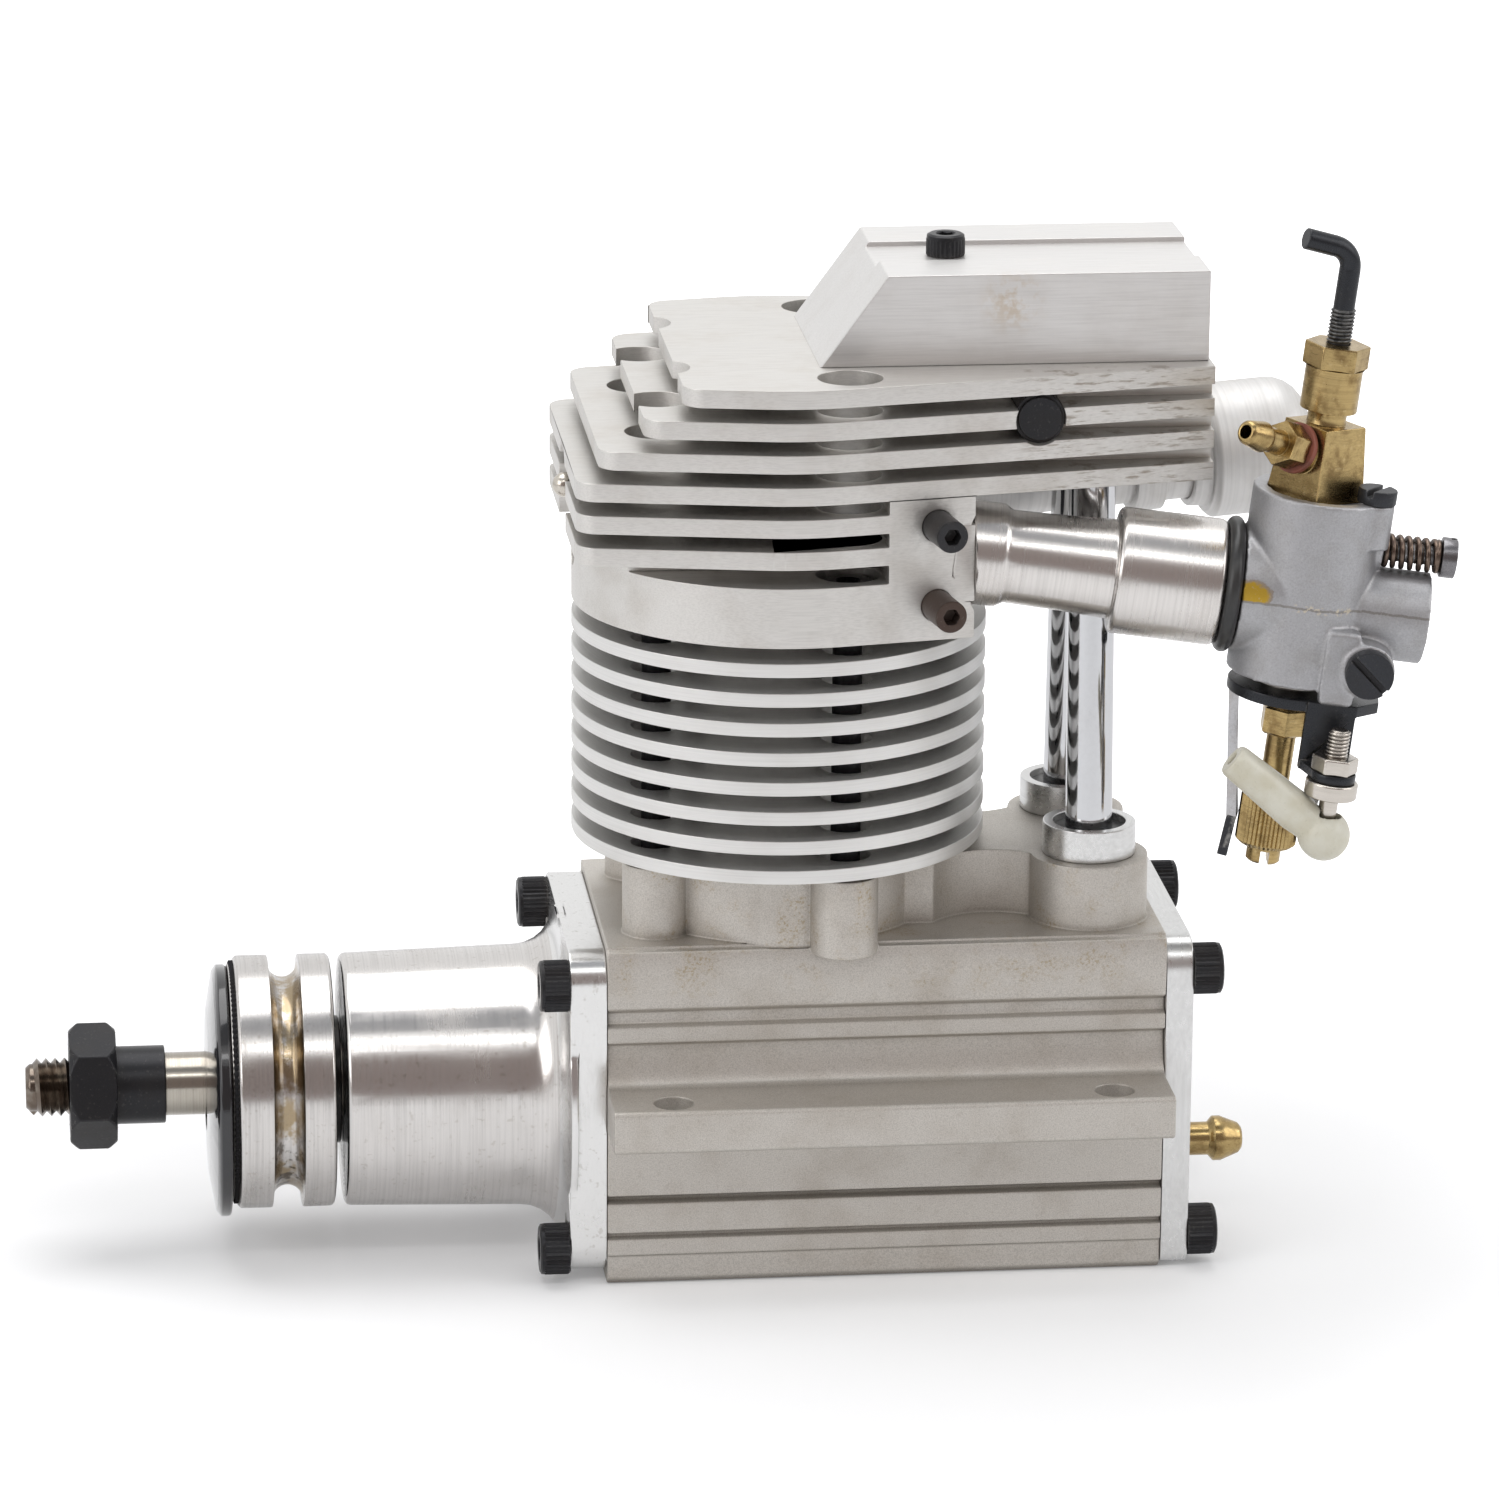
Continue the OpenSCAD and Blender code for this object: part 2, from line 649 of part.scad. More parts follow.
module cam_pins() {
    color([0.65, 0.66, 0.68]) for (s = [-1, 1]) translate([0, s * tappet_y, cam_z])
        along_x(pin_front, cam_pin_r, case_rear - pin_front - 0.2);
}

// One camshaft about its own axis, its lobe pointing at angle lobe from +Y
module cam(lobe) {
    nose = 2.2;
    d = cam_nose_r - nose;
    a = acos((cam_base_r - nose) / d);
    difference() {
        union() {
            along_x(cam_front, 2.7, gear_x + 1.4 - cam_front);
            translate([tappet_x - 3.4, 0, 0]) rotate([90, 0, 90]) linear_extrude(height = 6.8)
                rotate([0, 0, lobe]) union() {
                    circle(r = cam_base_r);
                    translate([d, 0]) circle(r = nose);
                    polygon([[cam_base_r * cos(a), cam_base_r * sin(a)],
                        [d + nose * cos(a), nose * sin(a)], [d + nose * cos(a), -nose * sin(a)],
                        [cam_base_r * cos(a), -cam_base_r * sin(a)]]);
                }
            translate([gear_x, 0, 0]) rotate([90, 0, 90]) linear_extrude(height = gear_w)
                rotate([0, 0, gear_phase]) gear_outline(cam_teeth);
        }
        along_x(cam_front - 1, cam_pin_r + run, case_len);
    }
}

// Turns the cam gear so that a gap faces the pinion's tooth
mesh_angle = atan2(cam_z - axis_z, tappet_y);
gear_phase = 180 + mesh_angle + mesh_angle / 2 + 180 / cam_teeth;

module intake_cam() {
    color([0.55, 0.55, 0.56]) mirror([0, 1, 0]) translate([0, tappet_y, cam_z]) cam(-60);
}

module exhaust_cam() {
    color([0.55, 0.55, 0.56]) translate([0, tappet_y, cam_z]) cam(-120);
}

module tappet() {
    translate([tappet_x, -tappet_y, 0]) difference() {
        union() {
            translate([0, 0, tappet_foot_z]) cylinder(r = tappet_foot_r, h = 1.5);
            translate([0, 0, tappet_foot_z]) cylinder(r = tappet_d / 2, h = tappet_top - tappet_foot_z);
        }
        translate([0, 0, tappet_top + 0.2]) sphere(r = socket_r);
    }
}

module intake_tappet() {
    color([0.6, 0.6, 0.62]) on_side(-1) tappet();
}

module exhaust_tappet() {
    color([0.6, 0.6, 0.62]) on_side(1) tappet();
}

pushrod_len = (rod_top_z - tappet_top - 0.2) / cos(lean);

module pushrod() {
    pushrod_frame() {
        cylinder(r = pushrod_d / 2 - 0.4, h = pushrod_len);
        translate([0, 0, 2.2]) cylinder(r = pushrod_d / 2, h = pushrod_len - 4.4);
        sphere(r = ball_r);
        translate([0, 0, pushrod_len]) sphere(r = ball_r);
    }
}

module intake_pushrod() {
    color([0.7, 0.71, 0.73]) on_side(-1) pushrod();
}

module exhaust_pushrod() {
    color([0.7, 0.71, 0.73]) on_side(1) pushrod();
}

tube_low = 4.8;
tube_high = (overhang_z + 1.8 - tappet_top - 0.2) / cos(lean);

module pushrod_tubes() {
    color([0.78, 0.79, 0.82]) for (s = [-1, 1]) on_side(s) pushrod_frame() difference() {
        translate([0, 0, tube_low]) cylinder(r = tube_d / 2, h = tube_high - tube_low);
        translate([0, 0, tube_low - 1]) cylinder(r = tube_d / 2 - 0.5, h = tube_high);
    }
}

module tappet_collars() {
    color([0.74, 0.74, 0.74]) for (s = [-1, 1]) translate([tappet_x, s * tappet_y, boss_top])
        difference() {
            cylinder(r = 6.3, h = collar_h);
            translate([0, 0, 1]) cylinder(r = 4.9, h = collar_h);
            translate([0, 0, -1]) cylinder(r = tube_d / 2 + 0.5, h = collar_h);
        }
}

module o_rings() {
    color([0.05, 0.05, 0.05]) {
        for (s = [-1, 1]) on_side(s) difference() {
            translate([tappet_x, -tappet_y, boss_top + 1.2]) cylinder(r = 4.86, h = 2.2);
            pushrod_frame() cylinder(r = tube_d / 2 + fit, h = 20);
        }
        carb_frame() rotate([0, 90, 0]) translate([0, 0, sleeve_rear + 1.1]) rotate_extrude()
            translate([sleeve_d / 2 - 0.42, 0]) circle(r = 1.06, $fn = 24);
    }
}

// Piston and rod

module piston() {
    crown = wrist_z + crown_h;
    skirt = crown - piston_len;
    r = bore_d / 2 - 0.05;
    color([0.66, 0.66, 0.66]) difference() {
        union() {
            translate([0, 0, skirt]) cylinder(r = r, h = piston_len - 0.4);
            translate([0, 0, crown - 0.4]) cylinder(r = r - 0.4, h = 0.4);
        }
        intersection() {
            translate([0, 0, skirt - 1]) cylinder(r = r - 2.2, h = wrist_z + small_end_r + 1.6 - skirt);
            translate([-5.2, -r, skirt - 1]) cube([10.4, 2 * r, piston_len]);
        }
        translate([0, 0, skirt - 1]) cylinder(r = r - 1.6, h = wrist_z - 5 - skirt);
        translate([0, 0, wrist_z]) along_x(-r, wrist_pin_d / 2 + fit, 2 * r);
        translate([0, 0, crown - 4]) difference() {
            cylinder(r = r + 1, h = 1.3);
            translate([0, 0, -1]) cylinder(r = r - 1.4, h = 4);
        }
    }
}

module piston_ring() {
    r = bore_d / 2 - 0.03;
    color([0.45, 0.45, 0.46]) translate([0, 0, wrist_z + crown_h - 3.95]) difference() {
        cylinder(r = r, h = 1.2);
        translate([0, 0, -1]) cylinder(r = r - 1.3, h = 4);
        translate([0, -0.3, -1]) cube([20, 0.6, 4]);
    }
}

module wrist_pin() {
    color([0.7, 0.71, 0.73]) translate([0, 0, wrist_z]) difference() {
        along_x(-12.4, wrist_pin_d / 2, 24.8);
        along_x(-13, wrist_pin_d / 4, 26);
    }
}

module connecting_rod() {
    x0 = -rod_w / 2;
    color([0.72, 0.7, 0.66]) difference() {
        union() {
            translate([0, 0, wrist_z]) along_x(x0, small_end_r, rod_w);
            translate([0, 0, crank_pin_z]) along_x(x0, big_end_r, rod_w);
            translate([-2.4, 0, 0]) rotate([90, 0, 90]) linear_extrude(height = 4.8)
                polygon([[-3.4, crank_pin_z + 3], [3.4, crank_pin_z + 3], [2.7, wrist_z - 3],
                    [-2.7, wrist_z - 3]]);
        }
        for (s = [-1, 1]) translate([s * 2.4 - 0.7, -1.6, crank_pin_z + 8])
            cube([1.4, 3.2, rod_len - 16]);
        translate([0, 0, wrist_z]) along_x(x0 - 1, wrist_pin_d / 2 + run, rod_w + 2);
        translate([0, 0, crank_pin_z]) along_x(x0 - 1, 3.1, rod_w + 2);
    }
}

// Cylinder

module cylinder_liner() {
    color([0.5, 0.5, 0.5]) difference() {
        translate([0, 0, case_h - 3]) cylinder(r = liner_r, h = head_z - 0.1 - case_h + 3);
        cylinder(r = bore_d / 2, h = 120);
    }
}

module finned_cylinder() {
    color([0.8, 0.8, 0.8]) difference() {
        union() {
            translate([0, 0, deck_z]) cylinder(r = barrel_r, h = head_z - 0.1 - deck_z);
            for (i = [0:fin_count - 1]) translate([0, 0, fin_bottom + i * fin_pitch])
                cylinder(r = fin_r, h = fin_t, $fn = 128);
        }
        cylinder(r = liner_r + fit, h = 120);
        bolt_places() cylinder(r = 3.35, h = 120);
    }
}

// Cylinder head

taper = atan((fin_r / cos(10.45) - plate_rear_w) / plate_rear);

function plate_w(x) = fin_r / cos(taper) - abs(x) * tan(taper);

// Plan of a head plate from front x to rear x, square-fronted with rounded corners
module plate_plan(front, rear) {
    corner = 3.2;
    t = fin_r * sin(taper);
    fw = plate_w(front) - 0.2;
    union() {
        intersection() {
            circle(r = fin_r, $fn = 128);
            translate([front, -fin_r - 1]) square([rear - front, 2 * fin_r + 2]);
        }
        polygon([[front, -fw + corner], [front + corner, -plate_w(front + corner)],
            [-t, -fin_r * cos(taper)], [t, -fin_r * cos(taper)], [rear, -plate_w(rear)],
            [rear, plate_w(rear)], [t, fin_r * cos(taper)], [-t, fin_r * cos(taper)],
            [front + corner, plate_w(front + corner)], [front, fw - corner]]);
        for (s = [-1, 1]) translate([front + corner, s * (plate_w(front + corner) - corner)])
            circle(r = corner);
    }
}

// Plan of the round-fronted lower plates
module round_plan(rear) {
    t = fin_r * sin(taper);
    intersection() {
        union() {
            circle(r = fin_r, $fn = 128);
            polygon([[0, -fin_r * 0.9], [t, -fin_r * cos(taper)], [rear, -plate_w(rear)],
                [rear, plate_w(rear)], [t, fin_r * cos(taper)], [0, fin_r * 0.9]]);
        }
        translate([-fin_r - 1, -fin_r - 1]) square([fin_r + 1 + rear, 2 * fin_r + 2]);
    }
}

plate_fronts = [-15.5, -20.6, -26.4, -29.3, -29.3];
pad_x = 11.5;
clamp_x = port_face_x - 5.1;
clamp_z = 5.4;
clamp_r = 2.15;
clamp_reach = 6.2;
chord_y = 17.3;

module head_body() {
    solid_top = head_z + head_solid_h;
    for (i = [0:4]) translate([0, 0, head_top - plate_t - i * plate_pitch])
        linear_extrude(height = plate_t)
            plate_plan(plate_fronts[i], i < 4 ? plate_rear : port_face_x);
    translate([0, 0, head_top - plate_t - 5 * plate_pitch]) linear_extrude(height = plate_t)
        round_plan(port_face_x);
    translate([0, 0, head_z]) linear_extrude(height = head_solid_h) round_plan(port_face_x);
    translate([0, 0, solid_top - 1]) linear_extrude(height = 5) intersection() {
        round_plan(port_face_x);
        translate([-40, -chord_y]) square([80, 2 * chord_y]);
    }
    translate([0, 0, head_z + 2]) linear_extrude(height = overhang_z - head_z) intersection() {
        round_plan(port_face_x);
        translate([pad_x, -40]) square([40, 80]);
    }
    translate([0, 0, head_z + 2]) linear_extrude(height = head_top - head_z - 2) union() {
        translate([-3, -box_out_w]) square([port_face_x + 3, 2 * box_out_w]);
        circle(r = box_out_w - 2.4);
    }
    translate([0, 0, overhang_z]) linear_extrude(height = head_top - overhang_z)
        translate([0, -box_out_w]) square([plate_rear, 2 * box_out_w]);
}

module ports() {
    seat = [tip_x - (valve_len - 5.5) * sin(valve_tilt), tip_z - (valve_len - 5.5) * cos(valve_tilt)];
    bore_between([seat[0], -valve_y, seat[1]], [port_face_x + 2, -port_y, port_z], 4.4);
    bore_between([seat[0], valve_y, seat[1]], [port_face_x + 2, port_y, exhaust_z], 4.4);
    carb_frame() translate([-3, 0, 0]) rotate([0, 90, 0]) cylinder(r = 6.9 + fit, h = 10);
    exhaust_frame() translate([-3, 0, 0]) rotate([0, 90, 0]) cylinder(r = 6.9 + fit, h = 10);
}

module valve_bores() {
    for (s = [-1, 1]) on_side(s) valve_frame() {
        translate([0, 0, -20]) cylinder(r = 4.9, h = 32);
        cylinder(r = stem_d / 2 + run, h = valve_len);
        translate([0, 0, 20]) cylinder(r = 4.4, h = valve_len - 20);
        translate([0, 0, valve_len - 1.75]) cylinder(r = valve_r + 0.3, h = 8);
    }
}

// Hollow in the edge of the clamp pad, where the intake pipe stands out of it
module pipe_notch() {
    notch_r = 14;
    notch_y = port_y + 2.7;
    intersection() {
        translate([port_face_x - 1.6 + notch_r, -fin_r, port_z]) rotate([-90, 0, 0])
            cylinder(r = notch_r, h = fin_r - notch_y);
        translate([port_face_x - 3, -fin_r - 1, head_z + 1])
            cube([20, fin_r, overhang_z - head_z - 1]);
    }
}

// Front tunnel of the glow plug, its axis running down to the chamber
module plug_frame() {
    translate([-30.4, 0, head_z + 16.6]) rotate([0, 120.5, 0]) children();
}

module cylinder_head() {
    color([0.76, 0.76, 0.75]) difference() {
        head_body();
        translate([cover_front + cover_wall + 2.5, -box_in_w, gallery_z])
            cube([plate_rear - 2.6 - cover_front - cover_wall - 2.5, 2 * box_in_w, 30]);
        translate([0, 0, head_z - 1]) cylinder(r = bore_d / 2 - 0.1, h = chamber_h + 1);
        valve_bores();
        ports();
        bolt_places() translate([0, 0, head_z - 1]) cylinder(r = screw_r + 0.1, h = 20);
        bolt_places(1) translate([0, 0, bolt_seat]) cylinder(r = recess_d / 2, h = 50);
        translate([bolt_circle_r, 0, bolt_seat]) cylinder(r = 3.8, h = 50);
        translate([rocker_x, 0, rocker_z]) rotate([90, 0, 0]) {
            translate([0, 0, -14.4]) cylinder(r = rocker_shaft_d / 2 + fit, h = 28.8);
            for (z = [-40, 14.5]) translate([0, 0, z]) cylinder(r = 3.4, h = 25.5);
        }
        for (s = [-1, 1]) on_side(s) pushrod_frame() {
            cylinder(r = tube_d / 2 + fit, h = tube_high + 0.1);
            cylinder(r = 2.6, h = 80);
        }
        plug_frame() {
            translate([0, 0, -20]) cylinder(r = 5, h = 37);
            cylinder(r = 3.18 + fit, h = 40);
        }
        for (dz = [-clamp_z, clamp_z]) translate([clamp_x, -plate_w(clamp_x), port_z + dz])
            rotate([90, 0, taper]) translate([0, 0, -5]) cylinder(r = clamp_r + fit, h = 9);
        pipe_notch();
        translate([-fin_r - 2, 0, head_z + 7.4]) rotate([0, 90, 0]) cylinder(r = 2.7, h = 5);
    }
}

module head_bolts() {
    seat = bolt_seat;
    color([0.2, 0.2, 0.21]) {
        bolt_places(1) translate([0, 0, seat]) cap_screw(screw_head_r, screw_d, screw_r,
            seat - case_h - 0.3, 3.4);
        translate([bolt_circle_r, 0, 0]) difference() {
            union() {
                translate([0, 0, case_h + 0.3]) cylinder(r = screw_r, h = seat - case_h);
                translate([0, 0, seat]) cylinder(r = 3.3, h = head_top + cover_h - 2.5 - seat);
            }
            translate([0, 0, head_top + cover_h - 12]) cylinder(r = 1.5 + fit, h = 20);
        }
    }
}

module rocker_cover() {
    w = cover_wall;
    color([0.8, 0.8, 0.79]) difference() {
        rotate([90, 0, 0]) translate([0, 0, -cover_w]) linear_extrude(height = 2 * cover_w)
            polygon([[cover_front, head_top], [cover_top_front, head_top + cover_h],
                [cover_rear, head_top + cover_h], [cover_rear, head_top]]);
        rotate([90, 0, 0]) translate([0, 0, -cover_w + w]) linear_extrude(height = 2 * cover_w - 2 * w)
            polygon([[cover_front + 2.2 * w, head_top - 1], [cover_front + 2.2 * w, head_top],
                [cover_top_front + w, head_top + cover_h - 2.4],
                [cover_rear - w, head_top + cover_h - 2.4], [cover_rear - w, head_top - 1]]);
        translate([0, -5.8, head_top + cover_h - 0.7]) cube([100, 11.6, 5]);
        translate([bolt_circle_r, 0, head_top]) cylinder(r = 1.6, h = 40);
    }
}

module rocker_cover_screw() {
    color([0.13, 0.13, 0.14]) translate([bolt_circle_r, 0, head_top + cover_h - 0.7])
        cap_screw(2.6, 3, 1.5, 9, 2.6);
}

module rocker_shaft() {
    color([0.65, 0.65, 0.66]) translate([rocker_x, -14.3, rocker_z]) rotate([-90, 0, 0])
        cylinder(r = rocker_shaft_d / 2, h = 28.6);
}

module rocker_shaft_plugs() {
    w = plate_w(rocker_x);
    color([0.1, 0.1, 0.11]) for (s = [-1, 1]) on_side(s) translate([rocker_x, -14.6, rocker_z])
        rotate([90, 0, 0]) difference() {
            cylinder(r = 3.38, h = w - 14.6 - 0.8);
            translate([0, 0, w - 14.6 - 1.3]) difference() {
                cylinder(r = 4, h = 1);
                translate([0, 0, -1]) cylinder(r = 2.9, h = 3);
            }
        }
}

// Valves, springs and rockers of the near side; the far side mirrors them

module valve() {
    valve_frame() rotate_extrude() polygon([[0, 0], [stem_d / 2 - 0.2, 0], [stem_d / 2, 0.2],
        [stem_d / 2, valve_len - 4], [valve_r, valve_len - 1], [valve_r, valve_len],
        [0, valve_len]]);
}

module intake_valve() {
    color([0.62, 0.62, 0.63]) on_side(-1) valve();
}

module exhaust_valve() {
    color([0.62, 0.62, 0.63]) on_side(1) valve();
}

module valve_spring() {
    valve_frame() translate([0, 0, 4.1]) coil(3.6, 0.4, 4, 7.8);
}

module intake_valve_spring() {
    color([0.6, 0.6, 0.6]) on_side(-1) valve_spring();
}

module exhaust_valve_spring() {
    color([0.6, 0.6, 0.6]) on_side(1) valve_spring();
}

module retainer() {
    valve_frame() difference() {
        union() {
            translate([0, 0, 2.6]) cylinder(r = 4.3, h = 1.4);
            translate([0, 0, 2.6]) cylinder(r = 2.8, h = 2.6);
        }
        cylinder(r = stem_d / 2 + fit, h = 10);
    }
}

module intake_retainer() {
    color([0.5, 0.5, 0.52]) on_side(-1) retainer();
}

module exhaust_retainer() {
    color([0.5, 0.5, 0.52]) on_side(1) retainer();
}

pad_r = 2.4;
pad_x_off = tip_x + (pad_r + free_gap) * sin(valve_tilt) - rocker_x;
pad_z_off = tip_z + (pad_r + free_gap) * cos(valve_tilt) - rocker_z;

module rocker() {
    hub_r = 4.3;
    rear = tappet_x - rocker_x;
    translate([rocker_x, -valve_y, rocker_z]) difference() {
        rotate([90, 0, 0]) union() {
            translate([0, 0, -2.5]) cylinder(r = hub_r, h = 5);
            translate([0, 0, -2]) linear_extrude(height = 4) polygon([[0, hub_r], [0, -3],
                [pad_x_off, pad_z_off - pad_r + 0.4], [pad_x_off - 1, pad_z_off],
                [pad_x_off, pad_z_off + pad_r]]);
            translate([pad_x_off, pad_z_off, -2]) cylinder(r = pad_r, h = 4);
            translate([0, 0, -2]) linear_extrude(height = 4)
                polygon([[0, hub_r], [rear + 1.9, 3], [rear + 1.9, 0.4], [0, -3]]);
            translate([rear, 0, 0]) rotate([-90, 0, 0]) translate([0, 0, -1.4])
                cylinder(r = 2.4, h = 5);
        }
        rotate([90, 0, 0]) translate([0, 0, -5]) cylinder(r = rocker_shaft_d / 2 + run, h = 10);
        translate([rear, 0, -1]) sphere(r = socket_r);
    }
}

module intake_rocker() {
    color([0.55, 0.55, 0.57]) on_side(-1) rocker();
}

module exhaust_rocker() {
    color([0.55, 0.55, 0.57]) on_side(1) rocker();
}

module glow_plug() {
    color([0.72, 0.7, 0.66]) plug_frame() {
        translate([0, 0, 1.7]) sphere(r = 1.7);
        translate([0, 0, 1.7]) cylinder(r = 1.2, h = 8);
        translate([0, 0, 5]) cylinder(r = 2.4, h = 6);
        translate([0, 0, 9.5]) cylinder(d = 9, h = 4, $fn = 6);
        translate([0, 0, 13]) cylinder(r = 4.2, h = 3.9);
        translate([0, 0, 15]) cylinder(r = 3.18, h = 8.2);
    }
}

// Intake side

module intake_manifold() {
    r = sleeve_d / 2;
    bore = neck_r - 1.2;
    color([0.84, 0.83, 0.81]) carb_frame() lathe_x([[-2.9, bore], [-2.9, neck_r + 0.7],
        [3.2, neck_r + 0.7], [4.4, neck_r], [12, neck_r + 0.15], [sleeve_front, neck_r + 0.45],
        [sleeve_front, r - 0.5], [sleeve_front + 0.5, r], [sleeve_rear - 0.5, r],
        [sleeve_rear, r - 0.5], [sleeve_rear, r - 1.45], [sleeve_rear - 8.8, r - 1.45],
        [sleeve_rear - 8.9, bore]]);
}

module manifold_screws() {
    color([0.2, 0.17, 0.15]) for (dz = [-clamp_z, clamp_z])
        translate([clamp_x, -plate_w(clamp_x), port_z + dz]) rotate([90, 0, taper])
            difference() {
                translate([0, 0, -4.8]) cylinder(r = clamp_r, h = 4.8 + clamp_reach);
                translate([0, 0, clamp_reach - 2]) cylinder(d = 2.3, h = 3, $fn = 6);
            }
}

module exhaust_header() {
    bore = neck_r - 1.2;
    end = header_len;
    color([0.8, 0.79, 0.77]) exhaust_frame() lathe_x([[-2.9, bore], [-2.9, neck_r + 0.7],
        [3.2, neck_r + 0.7], [4.4, neck_r], [end - 8.6, neck_r], [end - 8.6, neck_r + 1.2],
        [end - 4.4, neck_r + 1.2], [end - 4.4, neck_r + 0.1], [end, neck_r + 0.1], [end, bore]]);
}

module silencer() {
    r = silencer_d / 2;
    x0 = header_len + 2;
    x1 = x0 + silencer_len;
    color([0.78, 0.77, 0.76]) exhaust_frame() lathe_x(concat([[x0 - 2.5, 6.32],
        [x0 - 2.5, 7.4], [x0, 7.6], [x0, r - 0.8], [x0 + 0.8, r]],
        [for (a = [0:15:75]) [x1 - 5 + 5 * sin(a), r - 5 + 5 * cos(a)]],
        [[x1, 3.6], [x1, 2.4], [x1 - 1.6, 2.4], [x1 - 1.6, r - 5], [x1 - 5, r - 1.6],
        [x0 + 1.6, r - 1.6], [x0 + 1.6, 7], [x0 - 1, 6.32]]));
}

// Carburettor: written about the throttle barrel, Z along its axis

carb_top = 14.2;
carb_bottom = -11;
intake_drop = 1.4;
boss_x = 9;
boss_z = -7.2;
post_x = 7.25;
post_y = -3.2;
mouth_x = 10;
stop_z = 7.2;

module carburettor_body() {
    r = carb_d / 2;
    bore_r = throttle_d / 2 + run;
    color([0.66, 0.67, 0.69]) barrel_frame() difference() {
        union() {
            translate([0, 0, carb_bottom]) cylinder(r = r, h = carb_top - carb_bottom);
            along_x(sleeve_rear - barrel_x + 2.3, sleeve_d / 2 - 0.15, 9);
            along_x(sleeve_rear - barrel_x - 6.8, sleeve_d / 2 - 1.5, 12);
            translate([0, 0, -intake_drop]) along_x(5, 6.1, 11.4);
            translate([6, 0, stop_z]) along_x(0, 2.9, 3.3);
            translate([boss_x, -9.4, boss_z]) rotate([-90, 0, 0]) cylinder(r = 3.5, h = 9.4);
            translate([3, -9, carb_bottom]) cube([6, 9, 7.4]);
            translate([post_x, post_y, 8.2]) cylinder(r = 2.5, h = carb_top - 8.2);
        }
        translate([0, 0, carb_bottom - 1]) cylinder(r = bore_r, h = 22.5);
        along_x(-20, choke_d / 2, 26);
        translate([0, 0, -intake_drop]) along_x(6, choke_d / 2 - 0.1, 10);
        translate([0, 0, -intake_drop]) along_x(mouth_x, choke_d / 2 + 0.1, 10);
        translate([boss_x, -10, boss_z]) rotate([-90, 0, 0]) cylinder(r = 1.5 + fit, h = 6);
        translate([post_x, post_y, carb_top - 3.4]) cylinder(r = 1.2 + fit, h = 6);
        translate([0, 0, stop_z]) along_x(6.8, 1.3 + run, 5);
        translate([needle_off, 0, 10]) cylinder(r = 1.2, h = 6);
    }
}

// The throttle barrel turns in the body; at rest it is part open
rest_turn = 40;
arm_z = -12.5;

module throttle_barrel() {
    color([0.6, 0.6, 0.62]) barrel_frame() difference() {
        union() {
            translate([0, 0, -11.6]) cylinder(r = throttle_d / 2, h = 22);
            translate([0, 0, arm_z]) cylinder(r = 4, h = 2);
        }
        rotate([0, 0, rest_turn]) along_x(-20, choke_d / 2, 40);
        translate([0, 0, -30]) cylinder(r = 1.25 + run, h = 23);
    }
}

stud_x = 6.2;
stud_y = -11.6;
foot_z = -21.8;
ball_z = -29.4;
tab_y = -8.2;
tab_t = 1.2;

module throttle_arm() {
    color([0.1, 0.11, 0.12]) barrel_frame() {
        translate([0, 0, arm_z - arm_t]) linear_extrude(height = arm_t) difference() {
            union() {
                circle(r = 8.3);
                polygon([[1.8, tab_y], [8.4, tab_y], [11.6, -4.6], [11.8, -2.2], [10.4, 0], [7, 4]]);
            }
            circle(r = 2.6);
        }
        translate([0, tab_y + tab_t, 0]) rotate([90, 0, 0]) linear_extrude(height = tab_t)
            polygon([[1.8, arm_z - 0.4], [8.4, arm_z - 0.4], [8.4, foot_z + 1], [7.6, foot_z],
                [1.8, foot_z]]);
        translate([0, 0, foot_z]) linear_extrude(height = tab_t) difference() {
            union() {
                polygon([[1.8, tab_y + 0.6], [7.6, tab_y + 0.6], [stud_x + 3, stud_y],
                    [stud_x - 3, stud_y]]);
                translate([stud_x, stud_y]) circle(r = 3);
            }
            translate([stud_x, stud_y]) circle(r = 1.25 + fit);
        }
    }
}

module ball_stud() {
    color([0.72, 0.68, 0.62]) barrel_frame() translate([stud_x, stud_y, 0]) {
        translate([0, 0, ball_z + 1]) cylinder(r = 1.25, h = 13.6);
        difference() {
            translate([0, 0, foot_z + tab_t]) cylinder(d = 6.3, h = 2.2, $fn = 6);
            translate([0, 0, foot_z]) cylinder(r = 1, h = 5);
        }
        difference() {
            translate([0, 0, foot_z - 2.2]) cylinder(r = 3.5, h = 2.2);
            translate([0, 0, foot_z - 4]) cylinder(r = 1, h = 5);
        }
        translate([0, 0, ball_z]) sphere(r = 2);
    }
}

module ball_link() {
    rise = 57;
    color([0.86, 0.83, 0.72]) barrel_frame() translate([stud_x, stud_y, ball_z]) difference() {
        union() {
            sphere(r = 3.5);
            rotate([0, -rise, 0]) translate([0, 0, 2.4]) cylinder(r = 1.8, h = 12);
            rotate([0, -rise, 0]) translate([0, 0, 8]) cylinder(r = 2.1, h = 8.2);
        }
        sphere(r = 2 + free_gap);
        cylinder(r = 1.25 + free_gap + 0.4, h = 10);
        rotate([0, -rise, 0]) translate([0, 0, 8]) cylinder(r = 0.9, h = 12);
    }
}

module idle_needle() {
    color([0.72, 0.58, 0.3]) barrel_frame() difference() {
        union() {
            translate([0, 0, -34.5]) cylinder(d = knob_d, h = 6.6);
            translate([0, 0, -35]) cylinder(d = knob_d - 1, h = 7.6);
            translate([0, 0, -37.4]) cylinder(r = 2.3, h = 4);
            translate([0, 0, -28]) cylinder(r = 1.95, h = 12);
            translate([0, 0, -19.4]) cylinder(d = 6.6, h = 3.8, $fn = 6);
            translate([0, 0, -16]) cylinder(r = 1.25, h = 8.6);
        }
        translate([-5, -0.6, -39]) cube([10, 1.2, 3.4]);
    }
}

